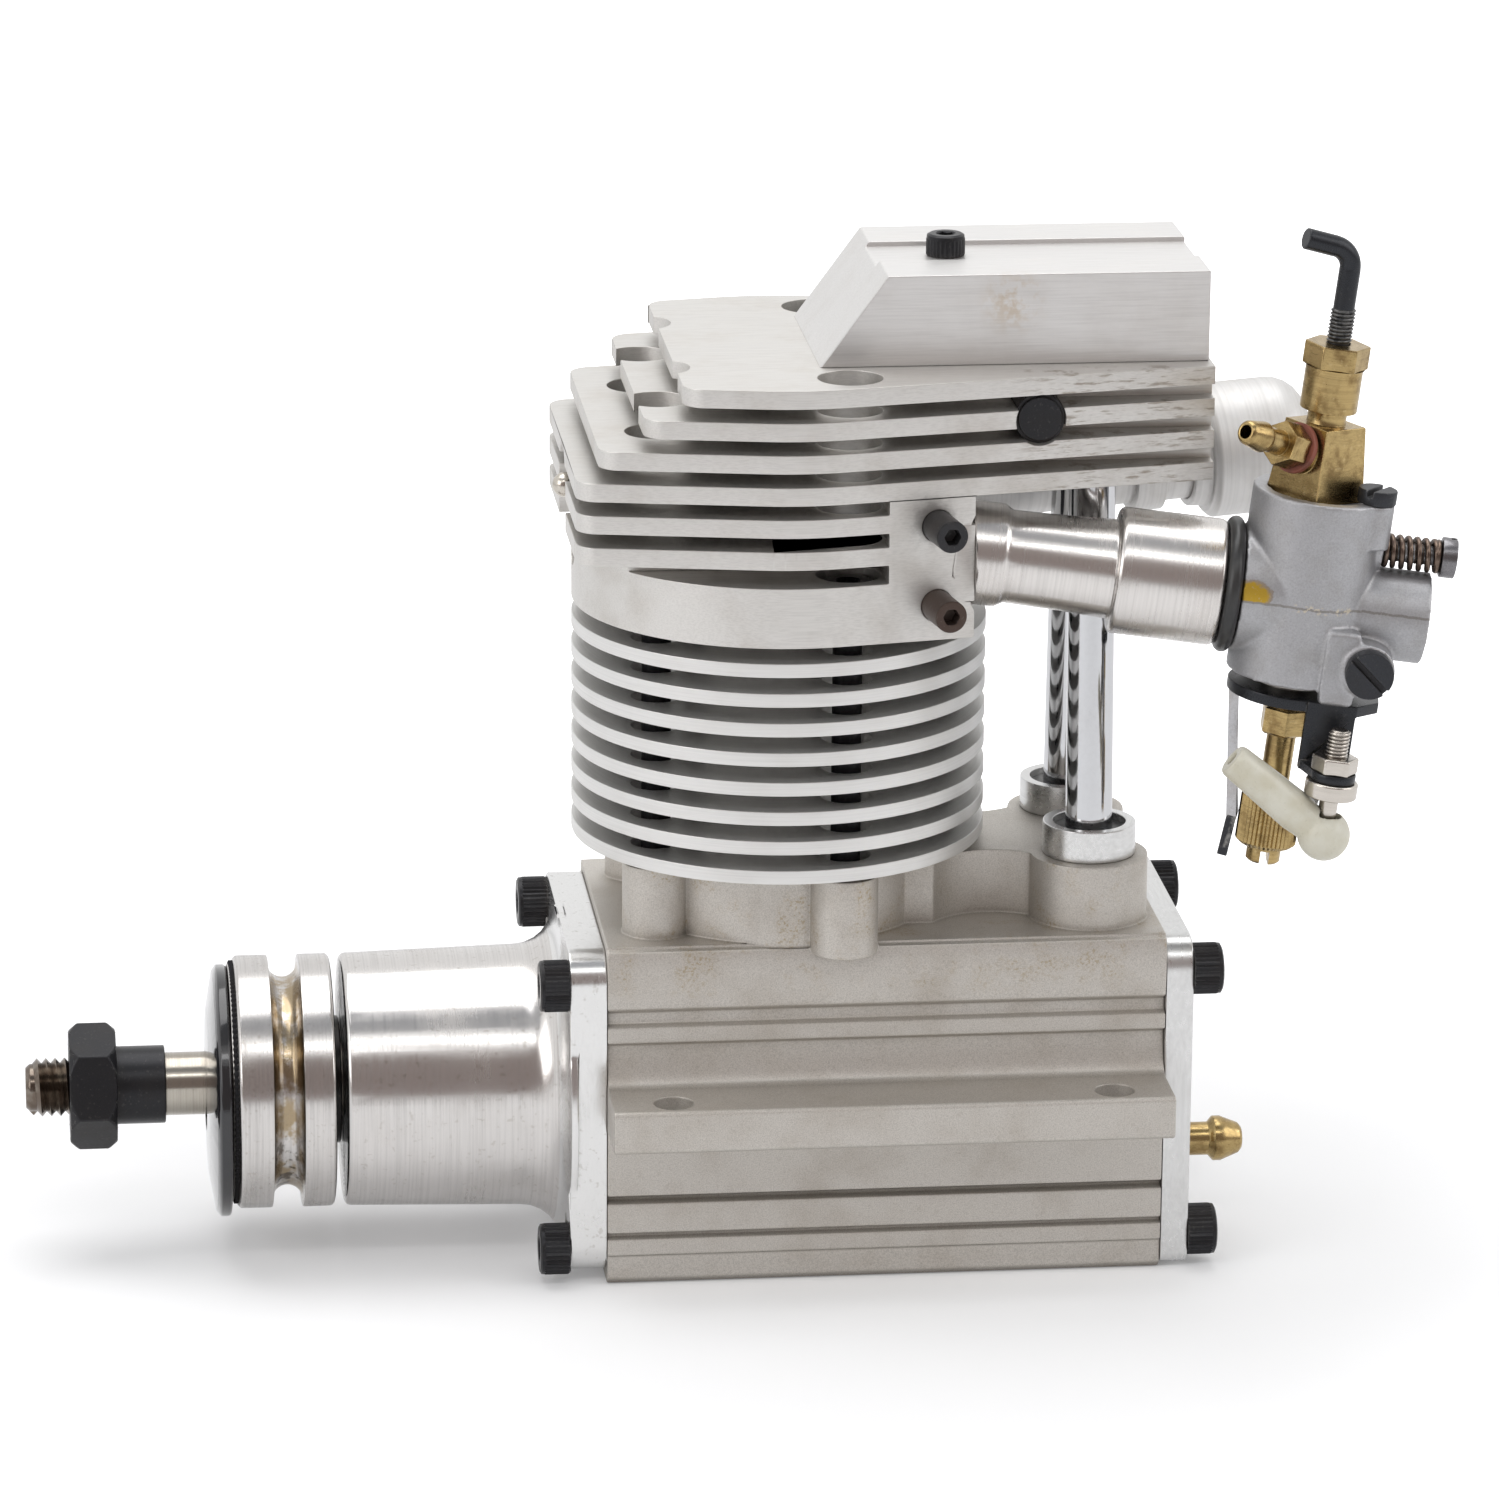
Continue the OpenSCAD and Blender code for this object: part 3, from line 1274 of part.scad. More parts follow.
// A strip spring that grips the knob from both sides
module click_spring() {
    bridge_z = arm_z - arm_t - 0.52;
    t = 0.5;
    grip = knob_d / 2 + 0.1;
    color([0.7, 0.71, 0.74]) barrel_frame() rotate([0, 0, -10]) difference() {
        union() {
            translate([-7.6, -1.6, bridge_z]) cube([16.2, 3.2, t]);
            translate([0, 0, bridge_z]) cylinder(r = 3, h = t);
            rotate([90, 0, 0]) translate([0, 0, -1.6]) linear_extrude(height = 3.2) {
                polygon([[-7.6, bridge_z + t], [-7.6 + t, bridge_z + t], [-grip, -31.6],
                    [-grip - 0.7, -36.4], [-grip - 1.2, -36.2], [-grip - t, -31.6]]);
                polygon([[8.6, bridge_z + t], [8.6 - t, bridge_z + t], [grip, -31.6],
                    [grip + 0.6, -34.2], [grip + 1.1, -34], [grip + t, -31.6]]);
            }
        }
        translate([0, 0, -20]) cylinder(r = 1.6, h = 10);
    }
}

module idle_stop_screw() {
    color([0.35, 0.33, 0.33]) barrel_frame() translate([17.2, 0, stop_z]) rotate([0, 90, 0])
        slotted_screw(2.7, 2, 1.3, 10.2);
}

module idle_stop_spring() {
    color([0.45, 0.4, 0.36]) barrel_frame() translate([9.4, 0, stop_z]) rotate([0, 90, 0])
        coil(1.95, 0.38, 7, 7.7);
}

module carburettor_screws() {
    color([0.2, 0.2, 0.22]) barrel_frame() {
        translate([boss_x, -9.4, boss_z]) rotate([90, 0, 0]) rotate([0, 0, -40])
            slotted_screw(3.2, 2.2, 1.5, 5);
        translate([post_x, post_y, carb_top]) rotate([0, 0, 60]) slotted_screw(2.6, 2, 1.2, 3.2);
    }
}

needle_off = -0.6;
body_turn = 42;
body_top = 23.4;
nipple_rise = 16;
nipple_z = carb_top + 4.6;
nipple_seat = 4.9;

module nipple_frame() {
    barrel_frame() translate([needle_off, 0, nipple_z]) rotate([0, 0, body_turn])
        rotate([0, nipple_rise - 90, 0]) children();
}

module needle_body() {
    h = body_top - carb_top;
    side_low = 4.6;
    side_high = 3.8;
    needle_bore = needle_d / 2 + run;
    color([0.75, 0.62, 0.32]) difference() {
        union() {
            barrel_frame() translate([needle_off, 0, carb_top]) {
                rotate([0, 0, body_turn]) intersection_for (a = [0, 90])
                    rotate([90, 0, a]) translate([0, 0, -10]) linear_extrude(height = 20)
                        polygon([[-side_low, 0], [side_low, 0], [side_high, h], [-side_high, h]]);
                translate([0, 0, h - 0.5]) cylinder(r = 2.6, h = 3);
                translate([0, 0, h + 1.8]) cylinder(r = 3.8, h = 6.5);
                translate([0, 0, h + 7.7]) cylinder(d = 8.8, h = 3.1, $fn = 6);
            }
            nipple_frame() cylinder(r = 3.1, h = nipple_seat);
        }
        barrel_frame() translate([needle_off, 0, carb_top - 1]) cylinder(r = needle_bore, h = 40);
        nipple_frame() translate([0, 0, 1]) cylinder(r = 0.9, h = 9);
    }
}

module needle() {
    r = needle_d / 2;
    top = 47.2;
    bend = 3;
    tip = 4.4;
    color([0.16, 0.17, 0.19]) barrel_frame() translate([needle_off, 0, 0]) {
        translate([0, 0, 17]) cylinder(r = r, h = top - bend - 17);
        translate([0, 0, 12]) cylinder(r = 0.6, h = 6);
        rotate([0, 0, 16]) {
            translate([-bend, 0, top - bend]) rotate([90, 0, 0]) rotate([0, 0, -6])
                rotate_extrude(angle = 92) translate([bend, 0]) circle(r = r - fit, $fn = 32);
            translate([-bend, 0, top - bend]) rotate([0, -80, 0]) translate([bend, 0, 0])
                cylinder(r = r, h = tip);
        }
    }
}

module fibre_washer() {
    color([0.5, 0.2, 0.14]) nipple_frame() translate([0, 0, nipple_seat]) difference() {
        cylinder(r = 3.4, h = 0.8);
        translate([0, 0, -1]) cylinder(r = 0.9, h = 4);
    }
}

module fuel_nipple() {
    hex_h = 3.2;
    len = 7.2;
    stem = 1.7;
    bulge = 2.1;
    color([0.75, 0.62, 0.32]) nipple_frame() translate([0, 0, nipple_seat + 0.8]) difference() {
        union() {
            cylinder(d = 6.2, h = hex_h, $fn = 6);
            translate([0, 0, hex_h - 0.1]) rotate_extrude() polygon([[0, 0], [stem, 0],
                [stem, len - 4.2], [bulge, len - 3.4], [stem - 0.1, len - 0.4],
                [stem - 0.4, len], [0, len]]);
        }
        translate([0, 0, -1]) cylinder(r = 0.9, h = 20);
    }
}

crankcase();
front_housing();
rear_cover();
crankcase_screws();
main_bearings();
breather_nipple();
crankshaft();
prop_driver();
prop_washer();
prop_nut();
timing_shaft();
connecting_rod();
piston();
piston_ring();
wrist_pin();
finned_cylinder();
cylinder_liner();
cylinder_head();
head_bolts();
rocker_cover();
rocker_cover_screw();
rocker_shaft();
rocker_shaft_plugs();
intake_rocker();
exhaust_rocker();
intake_valve();
exhaust_valve();
intake_valve_spring();
exhaust_valve_spring();
intake_retainer();
exhaust_retainer();
intake_pushrod();
exhaust_pushrod();
pushrod_tubes();
tappet_collars();
intake_tappet();
exhaust_tappet();
intake_cam();
exhaust_cam();
cam_pins();
glow_plug();
intake_manifold();
manifold_screws();
o_rings();
exhaust_header();
silencer();
carburettor_body();
throttle_barrel();
throttle_arm();
idle_needle();
click_spring();
ball_stud();
ball_link();
idle_stop_screw();
idle_stop_spring();
carburettor_screws();
needle_body();
needle();
fuel_nipple();
fibre_washer();
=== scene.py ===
"""Looks of a single-cylinder overhead-valve four-stroke model aircraft engine.

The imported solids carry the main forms. This script rounds their edges, models the threaded,
knurled and wound pieces, and gives every surface its finish. The frame is that of the solids:
X from the propeller to the carburettor, Z up. Sizes in the classes are millimetres.
"""

import json
import logging
import math
from contextlib import contextmanager
from dataclasses import dataclass, replace
from enum import Enum
from typing import Callable, Iterator, Optional, Sequence, Union

import bmesh
import bpy
from mathutils import Euler, Matrix, Vector

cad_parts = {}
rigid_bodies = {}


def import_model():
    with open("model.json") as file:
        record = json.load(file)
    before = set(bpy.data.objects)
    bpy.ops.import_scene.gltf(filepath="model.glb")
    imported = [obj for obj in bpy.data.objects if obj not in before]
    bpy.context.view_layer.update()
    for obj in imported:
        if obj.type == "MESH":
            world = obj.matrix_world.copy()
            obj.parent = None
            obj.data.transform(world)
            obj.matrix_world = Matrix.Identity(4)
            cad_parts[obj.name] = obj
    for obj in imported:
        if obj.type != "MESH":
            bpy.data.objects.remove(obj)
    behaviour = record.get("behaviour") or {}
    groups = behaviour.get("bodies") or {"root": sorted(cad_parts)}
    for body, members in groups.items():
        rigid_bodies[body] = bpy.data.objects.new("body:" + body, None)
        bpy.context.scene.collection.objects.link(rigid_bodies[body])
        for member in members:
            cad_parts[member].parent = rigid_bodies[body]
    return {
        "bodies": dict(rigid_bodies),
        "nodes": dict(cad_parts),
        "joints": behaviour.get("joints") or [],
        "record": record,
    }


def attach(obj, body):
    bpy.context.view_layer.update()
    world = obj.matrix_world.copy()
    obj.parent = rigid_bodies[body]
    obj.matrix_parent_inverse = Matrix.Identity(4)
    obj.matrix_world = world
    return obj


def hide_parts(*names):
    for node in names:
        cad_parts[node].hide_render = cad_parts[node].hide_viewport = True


LOG = logging.getLogger("engine")
MM = 0.001

Triple = tuple[float, float, float]
Profile = Sequence[tuple[float, float]]
Piece = bpy.types.Object


@dataclass(frozen=True)
class Place:
    """A local frame: its origin in millimetres and its XYZ angles in degrees."""

    origin: Triple = (0.0, 0.0, 0.0)
    angles: Triple = (0.0, 0.0, 0.0)

    def matrix(self) -> Matrix:
        """The frame as a matrix in metres."""
        turn = Euler([math.radians(a) for a in self.angles]).to_matrix().to_4x4()
        return Matrix.Translation(Vector(self.origin) * MM) @ turn

    def inner(self, origin: Triple = (0, 0, 0), angles: Triple = (0, 0, 0)) -> "Place":
        """A frame given inside this one.

        Args:
            origin: the inner origin, along this frame's axes.
            angles: the inner angles.

        Returns:
            The inner frame, as seen from outside.
        """
        whole = self.matrix() @ Place(origin, angles).matrix()
        turn = tuple(math.degrees(a) for a in whole.to_euler())
        return Place(tuple(whole.translation / MM), turn)


UPRIGHT = Place()
PORT_FACE = 23.2
LENGTHWISE = Place((0, 0, 0), (0, 90, 0))
SHAFT = Place((0, 0, 23.4), (0, 90, 0))
INTAKE_PIPE = Place((24.0, -18.5, 100.901), (0, 97, -6))
EXHAUST_PIPE = Place((23.2, 18.5, 101.501), (0, 86.7, 6))
BARREL = Place((67.4328, -23.065, 95.5388), (0, 7, -6))
NEEDLE_AXIS = BARREL.inner((-0.6, 0, 0))
NIPPLE_AXIS = BARREL.inner((-0.6, 0, 18.8), (0, 0, 42)).inner(angles=(0, -74, 0))
STUD_AXIS = BARREL.inner((6.2, -11.6, 0))
STOP_AXIS = BARREL.inner((0, 0, 7.2), (0, 90, 0))


# Shader expressions


class Sock:
    """A shader socket that takes part in Python expressions."""

    def __init__(self, graph: "Graph", socket: bpy.types.NodeSocket) -> None:
        """Keeps the socket and the graph that new nodes go into."""
        self.graph = graph
        self.socket = socket

    def __add__(self, other: "Value") -> "Sock":
        """self + other"""
        return self.graph.maths("ADD", self, other)

    def __sub__(self, other: "Value") -> "Sock":
        """self - other"""
        return self.graph.maths("SUBTRACT", self, other)

    def __rsub__(self, other: "Value") -> "Sock":
        """other - self"""
        return self.graph.maths("SUBTRACT", other, self)

    def __mul__(self, other: "Value") -> "Sock":
        """self * other"""
        return self.graph.maths("MULTIPLY", self, other)

    def __truediv__(self, other: "Value") -> "Sock":
        """self / other"""
        return self.graph.maths("DIVIDE", self, other)

    def __pow__(self, other: "Value") -> "Sock":
        """self ** other"""
        return self.graph.maths("POWER", self, other)

    __radd__ = __add__
    __rmul__ = __mul__

    def rise(self, low: float, high: float) -> "Sock":
        """A smooth step from 0 at low to 1 at high."""
        limits = {"From Min": low, "From Max": high, "Value": self}
        return self.graph.made("ShaderNodeMapRange", {"interpolation_type": "SMOOTHSTEP"}, limits)

    def between(self, low: float, high: float, soft: float) -> "Sock":
        """1 between low and high, falling to 0 over the distance soft outside."""
        return self.rise(low - soft, low) * (1 - self.rise(high, high + soft))


Value = Union[Sock, float, int]


class Graph:
    """The node tree of a material or a world, filled by method calls."""

    def __init__(self, owner: Union[bpy.types.Material, bpy.types.World]) -> None:
        """Starts with the owner's tree empty."""
        self.owner = owner
        owner.use_nodes = True
        self.tree = owner.node_tree
        self.tree.nodes.clear()

    @classmethod
    def named(cls, name: str) -> "Graph":
        """The graph of a new material."""
        return cls(bpy.data.materials.new(name))

    def add(self, kind: str, settings: Optional[dict] = None,
            values: Optional[dict] = None) -> bpy.types.Node:
        """Adds one node.

        Args:
            kind: the node's type.
            settings: the node's own properties, set first.
            values: a value or a Sock for each input, by name or number.

        Returns:
            The node.
        """
        node = self.tree.nodes.new(kind)
        for key, setting in (settings or {}).items():
            setattr(node, key, setting)
        for key, value in (values or {}).items():
            if isinstance(value, Sock):
                self.tree.links.new(value.socket, node.inputs[key])
            else:
                node.inputs[key].default_value = value
        return node

    def made(self, kind: str, settings: Optional[dict] = None, values: Optional[dict] = None,
             out: Union[int, str] = 0) -> Sock:
        """Adds one node and returns one of its outputs."""
        return Sock(self, self.add(kind, settings, values).outputs[out])

    def maths(self, operation: str, *terms: Value) -> Sock:
        """A Math node of that operation on the terms."""
        return self.made("ShaderNodeMath", {"operation": operation}, dict(enumerate(terms)))

    def coords(self, place: Place) -> Sock:
        """Object coordinates, in metres, seen from a local frame."""
        where = {"Vector": self.made("ShaderNodeTexCoord", out="Object"),
                 "Location": Vector(place.origin) * MM,
                 "Rotation": [math.radians(a) for a in place.angles]}
        return self.made("ShaderNodeMapping", {"vector_type": "TEXTURE"}, where)

    def split(self, vector: Sock) -> tuple[Sock, Sock, Sock]:
        """The three parts of a vector."""
        node = self.add("ShaderNodeSeparateXYZ", values={0: vector})
        return tuple(Sock(self, output) for output in node.outputs)

    def join(self, x: Value, y: Value, z: Value) -> Sock:
        """A vector of three parts."""
        return self.made("ShaderNodeCombineXYZ", values={0: x, 1: y, 2: z})

    def stretch(self, vector: Sock, by: Triple) -> Sock:
        """The vector times a constant along each axis."""
        return self.made("ShaderNodeVectorMath", {"operation": "MULTIPLY"}, {0: vector, 1: by})

    def noise(self, vector: Sock, size: float, detail: float = 2.0, rough: float = 0.5) -> Sock:
        """Noise from 0 to 1 whose features are size millimetres wide."""
        values = {"Vector": vector, "Scale": 1 / (size * MM), "Detail": detail,
                  "Roughness": rough}
        return self.made("ShaderNodeTexNoise", values=values)

    def mix(self, amount: Value, first: Union[Sock, Triple], second: Union[Sock, Triple]) -> Sock:
        """The first colour turning into the second by amount."""
        pair = [c if isinstance(c, Sock) else (*c, 1.0) for c in (first, second)]
        values = {0: amount, 6: pair[0], 7: pair[1]}
        return self.made("ShaderNodeMix", {"data_type": "RGBA"}, values, out=2)

    def shade(self, reach: float) -> Sock:
        """How far a point lies in a corner, from 0 in the open to 1, looking reach mm around."""
        values = {"Distance": reach * MM}
        return 1 - self.made("ShaderNodeAmbientOcclusion", {"samples": 6}, values, out="AO")

    def edges(self, reach: float) -> Sock:
        """How near a point lies to an outer edge, looking reach mm into the piece."""
        values = {"Distance": reach * MM}
        inner = self.made("ShaderNodeAmbientOcclusion", {"samples": 6, "inside": True}, values,
                          out="AO")
        return (1 - inner).rise(0.25, 0.6)

    def away(self, place: Place) -> Sock:
        """The distance from a place's origin, in metres."""
        return self.length(self.coords(place))

    def length(self, vector: Sock) -> Sock:
        """The length of a vector."""
        return self.made("ShaderNodeVectorMath", {"operation": "LENGTH"}, {0: vector}, out="Value")

    def bump(self, height: Sock, depth: float) -> Sock:
        """A normal for a relief that is depth millimetres deep."""
        return self.made("ShaderNodeBump", values={"Height": height, "Distance": depth * MM})

    def finish(self, values: dict) -> bpy.types.Material:
        """Ends the tree in a Principled shader with these inputs."""
        shader = self.made("ShaderNodeBsdfPrincipled", values=values)
        self.add("ShaderNodeOutputMaterial", values={"Surface": shader})
        return self.owner


# Finishes


class Lay(Enum):
    """How the marks of the last working step lie on a surface."""

    BLASTED = "even grain"
    TURNED = "rings round the local Z axis"
    BRUSHED = "lines along the local Z axis"


@dataclass(frozen=True)
class Metal:
    """A worked metal surface with its marks, stains, painted shade and grime in corners, and
    rubbed specks.
    """

    name: str
    colour: Triple
    roughness: float = 0.36
    metallic: float = 1.0
    lay: Lay = Lay.BLASTED
    place: Place = UPRIGHT
    mark: float = 0.3
    depth: float = 0.006
    tone: float = 0.12
    stain: Triple = (0.30, 0.24, 0.17)
    stained: float = 0.12
    stain_size: float = 9.0
    # painted shade: colour and weight of the darkening in corners and hollows, standing for the
    # shade there as well as grime
    shade_and_grime: Triple = (0.07, 0.06, 0.05)
    shade_and_grime_weight: float = 0.45
    reach: float = 1.4
    speck: Triple = (0.6, 0.58, 0.55)
    specked: float = 0.0
    speck_size: float = 0.5
    coat: float = 0.0
    worn: Triple = (0.4, 0.39, 0.37)
    wear: float = 0.0
    gloss: float = 0.5

    def marks(self, graph: Graph, local: Sock) -> Sock:
        """The marks of the last working step, from 0 to 1."""
        if self.lay is Lay.TURNED:
            x, y, z = graph.split(local)
            rings = graph.join((x * x + y * y) ** 0.5, z, x * 0.02)
            return graph.noise(rings, self.mark, 3.0, 0.6)
        if self.lay is Lay.BRUSHED:
            return graph.noise(graph.stretch(local, (1, 1, 0.03)), self.mark, 3.0, 0.6)
        return graph.noise(local, self.mark, 3.0, 0.7)

    def details(self, graph: Graph, local: Sock, colour: Sock) -> Sock:
        """What only one piece has, such as a stain in a groove; none here."""
        return colour

    def build(self) -> bpy.types.Material:
        """Makes the material.

        Returns:
            The material, its patterns on Object coordinates.
        """
        graph = Graph.named(self.name)
        local = graph.coords(self.place)
        marks = self.marks(graph, local)
        cloud = graph.noise(local, self.stain_size, 5.0, 0.6).rise(0.42, 0.78)
        dark = tuple(c * 0.35 for c in self.colour)
        colour = graph.mix(marks.rise(0.35, 0.75) * self.tone, self.colour, dark)
        colour = graph.mix(cloud * self.stained, colour, self.stain)
        colour = self.details(graph, local, colour)
        # painted shade: corners and hollows darken towards this colour, for the shade that falls
        # there as well as grime
        corner = graph.shade(self.reach).rise(0.15, 0.85)
        colour = graph.mix(corner * self.shade_and_grime_weight, colour, self.shade_and_grime)
        rough = self.roughness + (marks - 0.5) * 0.22 + cloud * 0.1 + corner * 0.15
        if self.specked:
            spots = graph.noise(local, self.speck_size, 2.0, 0.6).rise(0.62, 0.7)
            colour = graph.mix(spots * self.specked, colour, self.speck)
        if self.wear:
            rubbed = graph.edges(0.3) * graph.noise(local, 0.7, 3.0, 0.6).rise(0.35, 0.6)
            colour = graph.mix(rubbed * self.wear, colour, self.worn)
        return graph.finish({"Base Color": colour, "Roughness": rough, "Metallic": self.metallic,
                             "Coat Weight": self.coat, "Specular IOR Level": self.gloss,
                             "Normal": graph.bump(marks, self.depth)})


@dataclass(frozen=True)
class CaseMetal(Metal):
    """The crankcase's casting, with dried fuel on and round its top deck."""

    deck: float = 44.5
    fuel: Triple = (0.36, 0.27, 0.14)

    def details(self, graph: Graph, local: Sock, colour: Sock) -> Sock:
        """Adds the dried fuel as loose crumbs on the camera's side."""
        _, y, z = graph.split(local)
        patch = graph.noise(local, 6.0, 4.0, 0.6).rise(0.5, 0.66)
        crumb = graph.noise(local, 0.4, 2.0, 0.5).rise(0.5, 0.64)
        high = z.rise((self.deck - 6) * MM, self.deck * MM)
        near = 1 - y.rise(-16 * MM, -8 * MM)
        return graph.mix(patch * (crumb * 0.45 + 0.1) * high * near, colour, self.fuel)


@dataclass(frozen=True)
class NoseMetal(Metal):
    """The front housing's alloy, paler on the milled sides of its flange."""

    flange: float = -31.3
    milled: Triple = (0.76, 0.76, 0.755)

    def details(self, graph: Graph, local: Sock, colour: Sock) -> Sock:
        """Pales the flange, with a little of the turned tone left in it."""
        z = graph.split(local)[2]
        return graph.mix(z.rise(self.flange * MM, (self.flange + 0.1) * MM) * 0.85, colour,
                         self.milled)


@dataclass(frozen=True)
class ShaftMetal(Metal):
    """The crankshaft's steel, brown with old oil in front of the driver."""

    front: float = -83.6
    oiled: Triple = (0.13, 0.1, 0.08)

    def details(self, graph: Graph, local: Sock, colour: Sock) -> Sock:
        """Darkens the shank and the thread."""
        z = graph.split(local)[2]
        ahead = 1 - z.rise((self.front - 0.5) * MM, self.front * MM)
        patch = graph.noise(local, 2.0, 3.0, 0.6).rise(0.3, 0.6)
        return graph.mix(ahead * (0.6 + patch * 0.35), colour, self.oiled)


@dataclass(frozen=True)
class GroovedMetal(Metal):
    """The driver's alloy, with dried oil in its groove and its rear boss, in the gap behind it,
    painted near-black.
    """

    groove: float = -67.35
    groove_half: float = 1.9
    rim: float = 16.6
    boss: float = -61.1
    oil: Triple = (0.3, 0.21, 0.09)
    tar: Triple = (0.06, 0.045, 0.03)
    rear_boss_black: Triple = (0.02, 0.02, 0.021)

    def details(self, graph: Graph, local: Sock, colour: Sock) -> Sock:
        """Adds the oil, thick in places and tarry low down, and paints the rear boss near-black.
        """
        x, y, z = graph.split(local)
        low = 1 - ((x * x + y * y) ** 0.5).rise((self.rim - 1.2) * MM, self.rim * MM)
        band = z.between((self.groove - self.groove_half) * MM,
                         (self.groove + self.groove_half) * MM, 0.3 * MM)
        patch = graph.noise(local, 4.0, 4.0, 0.65).rise(0.38, 0.58)
        tarry = graph.noise(local, 2.2, 4.0, 0.7).rise(0.5, 0.6) * x.rise(-2 * MM, 9 * MM)
        colour = graph.mix(low * band * patch * 0.8, colour, self.oil)
        colour = graph.mix(low * band * tarry * 0.85, colour, self.tar)
        # the rear boss, deep in the gap behind the driver, is painted near-black
        return graph.mix(z.rise((self.boss - 0.05) * MM, self.boss * MM), colour, self.rear_boss_black)


@dataclass(frozen=True)
class HeadMetal(Metal):
    """The head's alloy, smudged round the clamp screws and streaked on its rear plates."""

    smudge_at: Triple = (17.6, -24.5, 107.0)
    smudge: Triple = (0.16, 0.15, 0.14)
    streak: Triple = (0.2, 0.15, 0.1)

    def details(self, graph: Graph, local: Sock, colour: Sock) -> Sock:
        """Adds the smudge and the streaks."""
        cloud = graph.noise(local, 1.2, 4.0, 0.65)
        far = graph.away(Place(self.smudge_at)) + (cloud - 0.5) * 4 * MM
        colour = graph.mix((1 - far.rise(1.5 * MM, 4 * MM)) * 0.45, colour, self.smudge)
        x, y, _ = graph.split(graph.coords(UPRIGHT))
        lines = graph.noise(graph.stretch(graph.coords(UPRIGHT), (0.12, 0.12, 1)), 0.5, 4.0, 0.7)
        rear = x.rise(24 * MM, 36 * MM) * (1 - y.rise(-19 * MM, -16 * MM))
        return graph.mix(lines.rise(0.52, 0.66) * rear * 0.6, colour, self.streak)


@dataclass(frozen=True)
class ScrewMetal(Metal):
    """The clamp screws' steel, black on the upper and browned on the lower."""

    parting: float = 101.0
    brown: Triple = (0.075, 0.05, 0.04)

    def details(self, graph: Graph, local: Sock, colour: Sock) -> Sock:
        """Browns the lower screw."""
        z = graph.split(local)[2]
        low = 1 - z.rise((self.parting - 0.5) * MM, (self.parting + 0.5) * MM)
        return graph.mix(low * 0.9, colour, self.brown)


@dataclass(frozen=True)
class CoverMetal(Metal):
    """The rocker cover's alloy, with a faint brown stain on its near side."""

    spot: Triple = (29.0, -15.3, 134.0)
    spot_size: float = 5.5
    tint: Triple = (0.5, 0.36, 0.2)

    def details(self, graph: Graph, local: Sock, colour: Sock) -> Sock:
        """Adds the stain round its centre."""
        near = 1 - graph.away(Place(self.spot)).rise(0, self.spot_size * MM)
        patch = graph.noise(local, 1.6, 4.0, 0.6).rise(0.4, 0.62)
        return graph.mix(near * patch * 0.5, colour, self.tint)


@dataclass(frozen=True)
class CastMetal(Metal):
    """The carburettor's casting, with its parting seam and a fuel stain by the seal."""

    seam_half: float = 0.12
    stain_at: Triple = (-8.0, -7.6, 0.9)
    stain_shape: Triple = (0.62, 0.4, 1.0)
    fuel: Triple = (0.52, 0.33, 0.02)
    rind: Triple = (0.22, 0.12, 0.02)

    def details(self, graph: Graph, local: Sock, colour: Sock) -> Sock:
        """Adds the seam, its crumbs and the fuel stain."""
        x, _, z = graph.split(local)
        wave = (graph.noise(graph.stretch(local, (1, 1, 0.1)), 1.2, 3.0, 0.6) - 0.5) * 0.5 * MM
        seam = (z + wave).between(-self.seam_half * MM, self.seam_half * MM, 0.1 * MM)
        colour = graph.mix(seam * 0.55, colour, (0.16, 0.14, 0.11))
        crumb = graph.noise(local, 0.55, 2.0, 0.5).rise(0.52, 0.6)
        rough = (z + wave).between(-0.35 * MM, 0.35 * MM, 0.3 * MM)
        side = x.between(-1.5 * MM, 5.5 * MM, 1.0 * MM)
        colour = graph.mix(crumb * rough * side * 0.7, colour, (0.62, 0.55, 0.42))
        uneven = (graph.noise(local, 1.5, 3.0, 0.6) - 0.5) * 1.4 * MM
        reach = graph.stretch(graph.coords(self.place.inner(self.stain_at)), self.stain_shape)
        far = graph.length(reach) + uneven
        above = (z + wave).rise(0.0, 0.25 * MM)
        colour = graph.mix((1 - far.rise(1.9 * MM, 2.1 * MM)) * above * 0.45, colour, self.rind)
        return graph.mix((1 - far.rise(1.4 * MM, 1.95 * MM)) * above * 0.9, colour, self.fuel)


@dataclass(frozen=True)
class Soft:
    """A plastic, fibre or rubber surface with fine grain, uneven ageing and painted shade in its
    corners.
    """

    name: str
    colour: Triple
    aged: Triple
    roughness: float = 0.45
    grain: float = 0.4
    depth: float = 0.01
    patch: float = 3.0

    def build(self) -> bpy.types.Material:
        """Makes the material."""
        graph = Graph.named(self.name)
        local = graph.coords(UPRIGHT)
        grain = graph.noise(local, self.grain, 3.0, 0.6)
        cloud = graph.noise(local, self.patch, 4.0, 0.6).rise(0.35, 0.7)
        colour = graph.mix(cloud * 0.8, self.colour, self.aged)
        # painted shade: darker in corners and creases, towards a dark tone of the aged colour
        colour = graph.mix(graph.shade(0.8).rise(0.2, 0.9) * 0.5, colour,
                           tuple(c * 0.3 for c in self.aged))
        rough = self.roughness + (grain - 0.5) * 0.2
        return graph.finish({"Base Color": colour, "Roughness": rough,
                             "Normal": graph.bump(grain, self.depth)})


